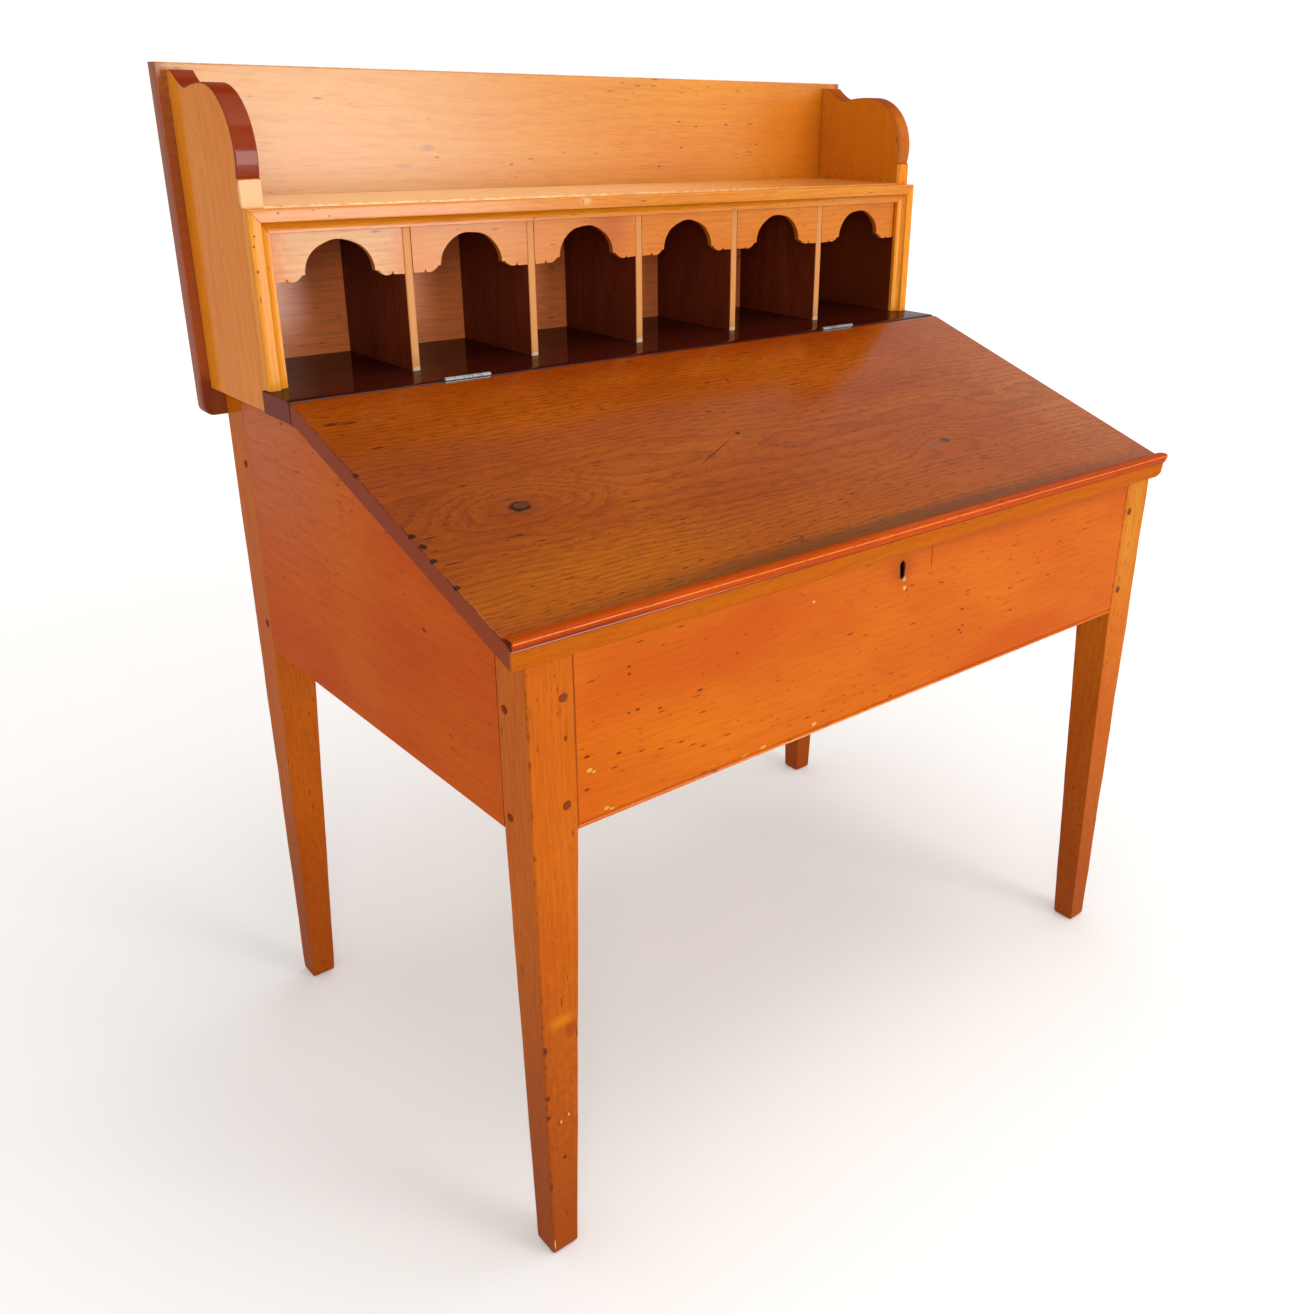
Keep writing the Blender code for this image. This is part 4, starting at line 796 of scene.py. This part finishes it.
# The dark ovals on the sides' inner faces beside the pigeonholes are a painted shade; the pale oval on the
# front of the left side's square foot is a painted sheen
GALLERY_PAINTED_SHADE_AND_SHEEN = tuple(
    ((sign * 0.489, 0.24, 0.93), (0.014, 0.40, 0.14), "#521808", 0.95, 0.25) for sign in (-1, 1)
) + (((-0.500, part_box("gallery_side_left")[0].y, 1.0775), (0.030, 0.006, 0.0155), "#DCAE78", 0.9, 0.15),)
GALLERY_WASHES = (((0.4905, 0.24, 1.12), (0.008, 0.24, 0.14), "#A85E0C", 0.6, 0.3),)
gallery_pine = pine("pine_gallery_planed_shellac", "z", GALLERY_SHADES, heart=(0.30, 0.08), ring=0.006,
                    figure=0.25, pores=0.15, washes=GALLERY_WASHES, marks=GALLERY_PAINTED_SHADE_AND_SHEEN, rub=(0.0, 0.3),
                    coat=0.29, edge_coat=0.08, gloss=0.13)
low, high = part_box("gallery_side_left")
SCROLL_FLAT = 0.015
SCOOP_L = 0.034
SCOOP_SAG = 0.003
LOBE_R = 0.070
LOBE_STRETCH = 1.86
LOBE_CREST = 1.1835
SCROLL_FOOT = 1.0915
SCROLL_STEP = 0.002
SCROLL_EDGE = 0.0012
flat_end = high.y - SCROLL_FLAT
valley = flat_end - SCOOP_L
lobe_y, lobe_z = low.y + LOBE_R, LOBE_CREST - LOBE_R
rear_angle = math.acos((valley - lobe_y) / (LOBE_STRETCH * LOBE_R))
foot_angle = math.pi + math.asin((lobe_z - SCROLL_FOOT - SCROLL_STEP) / LOBE_R)
turn = np.linspace(rear_angle, math.pi / 2, 25)
rear = np.stack([lobe_y + LOBE_STRETCH * LOBE_R * np.cos(turn), lobe_z + LOBE_R * np.sin(turn)], -1)
turn = np.linspace(math.pi / 2, foot_angle, 61)[1:]
lobe = np.stack([lobe_y + LOBE_R * np.cos(turn), lobe_z + LOBE_R * np.sin(turn)], -1)
t = np.linspace(0, 1, 17)[:-1, None]
scoop = (1 - t) * np.array([flat_end, high.z]) + t * rear[0]
scoop[:, 1:] -= 4 * SCOOP_SAG * t * (1 - t)
edge = np.linspace(0, 1, 40)[:, None]
foot, sill = np.array([low.y, SCROLL_FOOT]), np.array([low.y, low.z])
heel, head = np.array([high.y, low.z]), np.array([high.y, high.z])
outline = np.concatenate([heel + (head - heel) * edge, scoop, rear, lobe, foot + (sill - foot) * edge])
sawn = np.concatenate([np.zeros(len(edge)), np.ones(len(scoop) + len(rear) + len(lobe)), np.zeros(len(edge))])
for side, darkened in (("left", 1.2), ("right", 0.7)):
    low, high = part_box(f"gallery_side_{side}")
    rings, wear = lengthways(np.linspace(low.x, high.x, 3), outline, SCROLL_EDGE, wear=sawn)
    wear = darkened * wear * sawn
    gallery_side = skin(f"gallery_side_{side}_scrolled", gallery_pine, (rings, wear))
    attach(gallery_side, "desk")
    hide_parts(f"gallery_side_{side}")


# Gallery back and shelf
# One wide board behind everything, its lower corners rounded, lapping down over the box, and the shelf that
# covers the pigeonholes. The back catches the light from the room and looks palest of all.

BACK_SHADES = ("#D68A1A", "#CC760C", "#B0600A", "#6A2E0E", "#8E4432", "#B05A18")
BACK_CORNER = 0.012
BACK_EDGE = 0.0014
NAIL_R = 0.0034
NAIL_XS, NAIL_ZS = np.linspace(-0.4, 0.4, 6), np.linspace(0.89, 1.17, 5)
BACK_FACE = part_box("gallery_back")[0].y
BACK_MARKS = front_spots(BACK_FACE, 0.006, (
    (-0.205, 1.115, 0.014, 0.006, "#8A5A48", 0.5, 0.8),
    (-0.240, 1.094, 0.016, 0.004, "#8A5A48", 0.45, 0.8),
    (-0.345, 1.170, 0.008, 0.0015, "#4A2010", 0.7, 0.6),
    (-0.400, 0.990, 0.050, 0.012, "#7A3418", 0.3, 0.8),
    (-0.250, 0.975, 0.030, 0.010, "#7A3418", 0.3, 0.8),
)) + front_spots(BACK_FACE, 0.006, [
    (x, z, 0.0040, 0.0016, "#5A2A10", 0.8, 0.6)
    for x, z in ((-0.0837, 1.0936), (0.1645, 1.0873), (0.2012, 1.1471), (0.2052, 1.1123), (0.2332, 1.1405),
                 (0.2912, 1.1434), (0.3526, 1.1155), (-0.1934, 1.1035))
]) + front_spots(BACK_FACE, 0.012, ((-0.512, 0.835, 0.036, 0.036, "#7A2A16", 0.85, 0.3),))
# The broad pale tan wash, strongest at the left, is a painted sheen; the bright orange band along the back of
# the pigeonholes is painted light
BACK_WASHES_AND_PAINTED_LIGHT = front_spots(BACK_FACE, 0.016, (
    (-0.540, 1.120, 0.95, 0.45, "#C49048", 0.95, 0.95),
)) + front_spots(BACK_FACE, 0.012, (
    (0.0, 0.945, 0.90, 0.115, "#FF8E50", 0.95, 0.2),
    (-0.5265, 1.000, 0.020, 0.30, "#8E3A1A", 0.9, 0.3),
    (0.5265, 1.000, 0.020, 0.30, "#8E3A1A", 0.9, 0.3),
    (0.470, 1.120, 0.22, 0.14, "#BC5C0A", 0.65, 0.95),
))
board_pine = pine("pine_back_board_planed_shellac", "x", BACK_SHADES, heart=(0.52, 1.32), ring=0.012,
                  figure=0.18, pores=0.17, washes=BACK_WASHES_AND_PAINTED_LIGHT, marks=BACK_MARKS, coat=1.0, gloss=0.28)
low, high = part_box("gallery_back")
turn = np.linspace(0, math.pi / 2, 10)
x = np.linspace(low.x + BACK_CORNER, high.x - BACK_CORNER, 60)
right = np.stack([low.z + BACK_CORNER * (1 - np.cos(turn)), high.x - BACK_CORNER * (1 - np.sin(turn))], -1)
left = np.stack([right[:, 0], -right[:, 1]], -1)[::-1]
under = np.stack([np.full_like(x, low.z), x], -1)[1:-1]
over = np.stack([np.full_like(x, high.z), x[::-1]], -1)
loop = np.concatenate([under, right, [[high.z, high.x]], over, [[high.z, low.x]], left])
board = lengthways(np.linspace(low.y, high.y, 3), loop, BACK_EDGE, "y")
gallery_back = skin("gallery_back_board", board_pine, board)
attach(gallery_back, "desk")
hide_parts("gallery_back")
side_x = sum(corner.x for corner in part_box("gallery_side_right")) / 2
shelf_z = sum(corner.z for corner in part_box("gallery_shelf")) / 2
back_nails = [(sign * side_x, high.y, nail_z) for sign in (-1, 1) for nail_z in NAIL_ZS]
back_nails += [(nail_x, high.y, shelf_z) for nail_x in NAIL_XS]
nail_iron = metal("iron_nail_cut_rusted", "#3A2E26", "#4A2A1A", 0.5)
nails = heads("gallery_back_nails", nail_iron, nail_iron, back_nails, (0, 1, 0), (1, 0, 0), NAIL_R, slot=0)
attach(nails, "desk")

SHELF_EDGE, SHELF_ARRIS = 0.0005, 0.0014
SHELF_SHADES = ("#F0B86C", "#E8A654", "#C47C38", *BACK_SHADES[3:])
# The pale wash on the left of the shelf is a painted reflection
SHELF_WASHES_AND_REFLECTION = (
    ((0.55, 0.24, 1.06), (0.62, 0.30, 0.06), "#C06A14", 0.85, 0.9),
    ((-0.25, 0.24, 1.06), (0.60, 0.30, 0.06), "#FFD298", 0.8, 0.7),
)
shelf_pine = pine("pine_shelf_planed_shellac", "x", SHELF_SHADES, heart=(0.10, 1.30), ring=0.008, figure=0.25,
                  pores=0.2, washes=SHELF_WASHES_AND_REFLECTION, coat=1.0, gloss=0.2)
low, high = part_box("gallery_shelf")
shelf_x = np.linspace(low.x, high.x, 41)
section = lengthways(shelf_x, oblong(low.yz, high.yz), SHELF_EDGE, reach=SHELF_ARRIS)
shelf = skin("gallery_shelf_board", shelf_pine, section)
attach(shelf, "desk")
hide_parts("gallery_shelf")


# Face moulding
# A small run moulding, mitred at its upper corners and pinned round the front of the gallery: a flat with
# eased arrises, a quirk, a cove and a fillet. The cove holds polish and glows redder than the flat.

MOULD_SHADES = ("#D88A20", "#CE760E", "#AE580A", "#5A2208", "#A04E14", "#DC8420")
MOULD_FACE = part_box("moulding_top")[0].y
MOULD_MARKS = front_spots(MOULD_FACE, 0.004, [
    (x, z, 0.0016, 0.0016, "#3A1206", 0.9, 0.5)
    for x, z in ((-0.4825, 1.0591), (-0.5105, 1.0370), (-0.5122, 1.0268), (-0.5160, 1.0070),
                 (-0.5113, 1.0017))
]) + front_spots(MOULD_FACE, 0.006, (
    (-0.0927, 1.0587, 0.0130, 0.0070, "#E2AC68", 0.7, 0.9),
    (-0.0970, 1.0580, 0.0030, 0.0030, "#8A4A18", 0.6, 0.6),
))
mould_pine = pine("pine_moulding_run_shellac", "x", MOULD_SHADES, heart=(0.05, 1.25), ring=0.006, figure=0.3,
                  marks=MOULD_MARKS, coat=0.75, gloss=0.2)
UPRIGHT_SHADES = ("#E89C2A", "#E08A16", "#BC640C", *MOULD_SHADES[3:])
upright_pine = pine("pine_moulding_upright_shellac", "z", UPRIGHT_SHADES, heart=(0.25, 0.30), ring=0.006,
                    figure=0.3, marks=MOULD_MARKS, coat=0.38, gloss=0.2)
MOULD_W = 0.0250
MOULD_T = 0.014
MOULD_FLAT = 0.0135
COVE_QUIRK = 0.0012
COVE_D = 0.0085
COVE_SAG = 0.0022
MOULD_FILLET = 0.002
FLAT_EASE, QUIRK_EASE, FILLET_EASE = 0.0014, 0.0010, 0.0004
ease = np.radians(np.linspace(0, 90, 5))
first = FLAT_EASE * np.stack([1 - np.sin(ease[::-1]), 1 - np.cos(ease[::-1])], -1)
second = np.stack([MOULD_FLAT - QUIRK_EASE * (1 - np.sin(ease)), QUIRK_EASE * (1 - np.cos(ease))], -1)
t = np.linspace(0, 1, 17)[:, None]
cove = (1 - t) * np.array([MOULD_FLAT, COVE_QUIRK]) + t * np.array([MOULD_W - MOULD_FILLET, COVE_D])
hollow = np.array([-(COVE_D - COVE_QUIRK), MOULD_W - MOULD_FILLET - MOULD_FLAT])
cove += 4 * COVE_SAG * t * (1 - t) * hollow / np.linalg.norm(hollow)
last = np.array([[MOULD_W - FILLET_EASE, COVE_D], [MOULD_W, COVE_D + FILLET_EASE], [MOULD_W, MOULD_T]])
profile = np.concatenate([[[0, MOULD_T]], first, second, cove, last])
profile_wear = np.concatenate([[0], np.sin(2 * ease), np.sin(2 * ease), np.zeros(len(cove)), [1, 1, 0]])
inset, behind = profile.T
low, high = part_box("moulding_top")
t = np.linspace(-1, 1, 41)[:, None]
rings = np.stack(np.broadcast_arrays(t * (high.x - inset), low.y + behind, high.z - inset), -1)
moulding = skin("moulding_top_run", mould_pine, (rings, profile_wear))
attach(moulding, "desk")
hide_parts("moulding_top")
for side, sign in (("left", -1), ("right", 1)):
    low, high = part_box(f"moulding_{side}")
    outer = low.x if side == "left" else high.x
    t = np.linspace(0, 1, 15)[:, None]
    rise = low.z + t * (high.z - inset - low.z)
    rings = np.stack(np.broadcast_arrays(outer - sign * inset, low.y + behind, rise), -1)
    moulding = skin(f"moulding_{side}_run", upright_pine, (rings, profile_wear))
    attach(moulding, "desk")
    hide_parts(f"moulding_{side}")


# Dividers
# Five thin uprights housed in the deck and the shelf. Their faces are coloured dark, a painted shade for the
# shade inside the pigeonholes; their front edges keep the wood's own pale amber.

# The first five shades are dark, a painted shade for the inside of the pigeonholes; the last, pale one is the
# wood's own colour, shown on the front edges
DIVIDER_SHADES_AND_PAINTED_SHADE = ("#7A3418", "#5E2210", "#421408", "#240A04", "#5A2A18", "#E09A58")
DIVIDER_FACE = 0.1548
DIVIDER_ARRIS = np.array([[0.0016], [0.0016], [0.0006], [0.0006]])
DIVIDER_EDGE = 0.0005
FRONT_EDGE_DEEP = 0.0012
DIVIDER_MARKS = front_spots(DIVIDER_FACE, 0.004, [
    (x, 0.878, 0.007, 0.004, "#D8BCA0", 0.85, 0.5) for x in (-0.330, -0.165, 0.0, 0.165, 0.330)
])
divider_pine_with_painted_shade = pine("pine_divider_painted_shade", "z", DIVIDER_SHADES_AND_PAINTED_SHADE, heart=(0.20, 0.30), ring=0.006,
                    figure=0.3, pores=0.15, marks=DIVIDER_MARKS, rub=(0.05, 0.30), gloss=0.25)
for count in range(1, 6):
    low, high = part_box(f"divider_{count}")
    z = np.linspace(low.z, high.z, 12)
    rings, _ = lengthways(z, oblong(low.xy, high.xy), DIVIDER_EDGE, "z", reach=DIVIDER_ARRIS)
    front_edge = (rings[..., 1] < low.y + FRONT_EDGE_DEEP).astype(float)
    divider = skin(f"divider_{count}_board", divider_pine_with_painted_shade, (rings, front_edge))
    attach(divider, "desk")
    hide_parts(f"divider_{count}")


# Valances
# Thin boards under the shelf, one to a pigeonhole, fretted by hand to a tall arch between two lobes, with a
# small saw notch and a flat ear beside each divider. The saw left the curves a little uneven.

VALANCE_SHADES = ("#D68222", "#CC6E10", "#AC560A", "#64280C", "#B05A1C", "#E49A50")
# The valances are paler on the left and darker towards the middle: a painted sheen
VALANCE_PAINTED_SHEEN = front_spots(0.16, 0.05, (
    (-0.4125, 1.03, 0.085, 0.10, "#D09A58", 0.9, 0.4),
    (-0.2475, 1.03, 0.085, 0.10, "#CE7E24", 0.8, 0.4),
    (-0.0500, 1.03, 0.050, 0.10, "#B04C0A", 0.6, 0.8),
))
valance_pine = pine("pine_valance_fretted_shellac", "x", VALANCE_SHADES, heart=(0.10, 1.16), ring=0.007,
                    figure=0.25, pores=0.2, washes=VALANCE_PAINTED_SHEEN, coat=0.6, gloss=0.24)
ARCH_W = 0.082
ARCH_RISE = 0.0356
EAR_STEP = 0.004
LOBE_W = 0.016
LOBE_DROP = 0.0007
LOBE_SAG = 0.0030
SPRING_RISE = 0.0062
NOTCH_W = 0.0024
NOTCH_H = 0.0036
VALANCE_EDGE = 0.0005
SAW_SLIP, SAW_WAVES, SAW_REACH = 0.0004, 190, 0.05
for count in range(1, 7):
    low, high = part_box(f"valance_{count}")
    middle, half = (low.x + high.x) / 2, (high.x - low.x) / 2
    turn = np.linspace(math.pi / 2, 0, 33)
    arch = np.stack([ARCH_W / 2 * np.cos(turn), low.z + SPRING_RISE + ARCH_RISE * np.sin(turn)], -1)
    lobe_in = ARCH_W / 2 + EAR_STEP
    t = np.linspace(0, 1, 13)[:, None]
    notch_x, spring_z = lobe_in + LOBE_W, low.z + SPRING_RISE
    lobe = (1 - t) * np.array([lobe_in, spring_z - LOBE_DROP]) + t * np.array([notch_x, low.z + LOBE_DROP])
    lobe[:, 1:] -= 4 * LOBE_SAG * t * (1 - t)
    rest = np.array([[notch_x + NOTCH_W / 2, low.z + NOTCH_H], [notch_x + NOTCH_W, low.z], [half, low.z],
                     [half, high.z]])
    right = np.concatenate([arch, [[lobe_in, spring_z]], lobe, rest])
    outline = np.concatenate([(right * (-1, 1))[:0:-1], right])
    sawn = outline[:, 1] < low.z + SAW_REACH
    outline[:, 1] += SAW_SLIP * np.sin(SAW_WAVES * outline[:, 0] + 2 * count) * sawn
    outline[:, 0] += middle
    board = lengthways(np.linspace(low.y, high.y, 3), outline[:, ::-1], VALANCE_EDGE, "y")
    valance = skin(f"valance_{count}_fretted", valance_pine, board)
    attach(valance, "desk")
    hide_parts(f"valance_{count}")


# Floor, light and camera
# A pale floor and a white room whose light dims overhead, though the camera sees it white; one tall window of
# soft light in front on the right, which the polish mirrors. The camera stands where the photographer stood.

FLOOR = "#F4F2EF"
FLOOR_LIFT = 0.12
floor_material = bpy.data.materials.new("floor_painted_matt")
floor_material.use_nodes = True
floor_tree = floor_material.node_tree
floor_place = add(floor_tree, "TexCoord").outputs["Object"]
floor_noise = add(floor_tree, "TexNoise", {"Vector": floor_place, "Scale": 3.0}).outputs["Fac"]
floor_rough = add(floor_tree, "MapRange", {"Value": floor_noise, "To Min": 0.85, "To Max": 0.95})
seen = add(floor_tree, "LightPath")
seen_direct = add(floor_tree, "Math", {0: seen.outputs["Is Camera Ray"], 1: seen.outputs["Is Glossy Ray"]},
                  operation="MAXIMUM")
seen_any = add(floor_tree, "Math", {0: seen_direct, 1: seen.outputs["Is Transmission Ray"]},
               operation="MAXIMUM")
away = add(floor_tree, "VectorMath", {0: floor_place}, operation="LENGTH").outputs["Value"]
away = add(floor_tree, "MapRange", {"Value": away, "From Min": 0.6, "From Max": 4.0, "To Min": FLOOR_LIFT,
           "To Max": 0.6})
lift = add(floor_tree, "Math", {0: seen_any, 1: away}, operation="MULTIPLY")
floor_shader = floor_tree.nodes["Principled BSDF"]
floor_tree.links.new(floor_rough.outputs[0], floor_shader.inputs["Roughness"])
floor_tree.links.new(lift.outputs[0], floor_shader.inputs["Emission Strength"])
floor_shader.inputs["Emission Color"].default_value = (1, 1, 1, 1)
floor_shader.inputs["Base Color"].default_value = linear(FLOOR)
floor_shader.inputs["Specular IOR Level"].default_value = 0.0
FLOOR_HALF = 30
floor_corners = [(-FLOOR_HALF, -FLOOR_HALF, 0), (FLOOR_HALF, -FLOOR_HALF, 0), (FLOOR_HALF, FLOOR_HALF, 0),
                 (-FLOOR_HALF, FLOOR_HALF, 0)]
floor = meshed("floor", floor_corners, [(0, 1, 2, 3)], floor_material)

world = bpy.data.worlds.new("pale_room")
bpy.context.scene.world = world
world.use_nodes = True
sky = world.node_tree
way = add(sky, "SeparateXYZ", {0: add(sky, "TexCoord").outputs["Generated"]})
overhead = add(sky, "MapRange", {"Value": way.outputs["Z"], "From Min": 0.45, "From Max": 0.72, "To Min": 1.0,
               "To Max": 0.3}, interpolation_type="SMOOTHSTEP")
seen = add(sky, "LightPath").outputs["Is Camera Ray"]
overhead = add(sky, "Math", {0: overhead, 1: seen}, operation="MAXIMUM")
sky.links.new(overhead.outputs[0], sky.nodes["Background"].inputs["Strength"])
sky.nodes["Background"].inputs["Color"].default_value = (1, 1, 1, 1)

for name, place, aim, width, height, power in (
    ("window", (1.15, -3.2, 0.85), (0.0, 0.3, 0.95), 1.3, 1.4, 52),
    ("lantern", (-1.45, -1.75, 1.45), (0.0, 0.1, 0.85), 0.5, 0.5, 8),
    ("skylight", (0.4, -0.3, 3.6), (0.1, 0.0, 0.5), 2.6, 2.6, 55),
):
    lamp = bpy.data.lights.new(name, "AREA")
    lamp.shape = "RECTANGLE"
    lamp.size, lamp.size_y, lamp.energy = width, height, power
    lamp_object = bpy.data.objects.new(name, lamp)
    bpy.context.scene.collection.objects.link(lamp_object)
    toward = Vector(aim) - Vector(place)
    facing = toward.to_track_quat("-Z", "Y").to_matrix().to_4x4()
    lamp_object.matrix_world = Matrix.Translation(place) @ facing

view_right = (0.7592, -0.6506, 0.0141)
view_forward = (0.6033, 0.6956, -0.3901)
right = np.array(view_right) / np.linalg.norm(view_right)
forward = np.array(view_forward) - np.dot(view_forward, right) * right
forward /= np.linalg.norm(forward)
above = np.cross(right, forward)
camera = bpy.data.cameras.new("photograph")
camera.sensor_fit = "HORIZONTAL"
camera.sensor_width = 36
camera.lens = 34.19
camera.shift_x = -0.0440
camera.shift_y = -0.0154
camera_object = bpy.data.objects.new("photograph", camera)
bpy.context.scene.collection.objects.link(camera_object)
turned = np.eye(4)
turned[:3, 0], turned[:3, 1], turned[:3, 2] = right, above, -forward
turned[:3, 3] = (-1.028, -1.1925, 1.166)
camera_object.matrix_world = Matrix(turned.tolist())
bpy.context.scene.camera = camera_object
bpy.context.scene.view_settings.view_transform = "Standard"
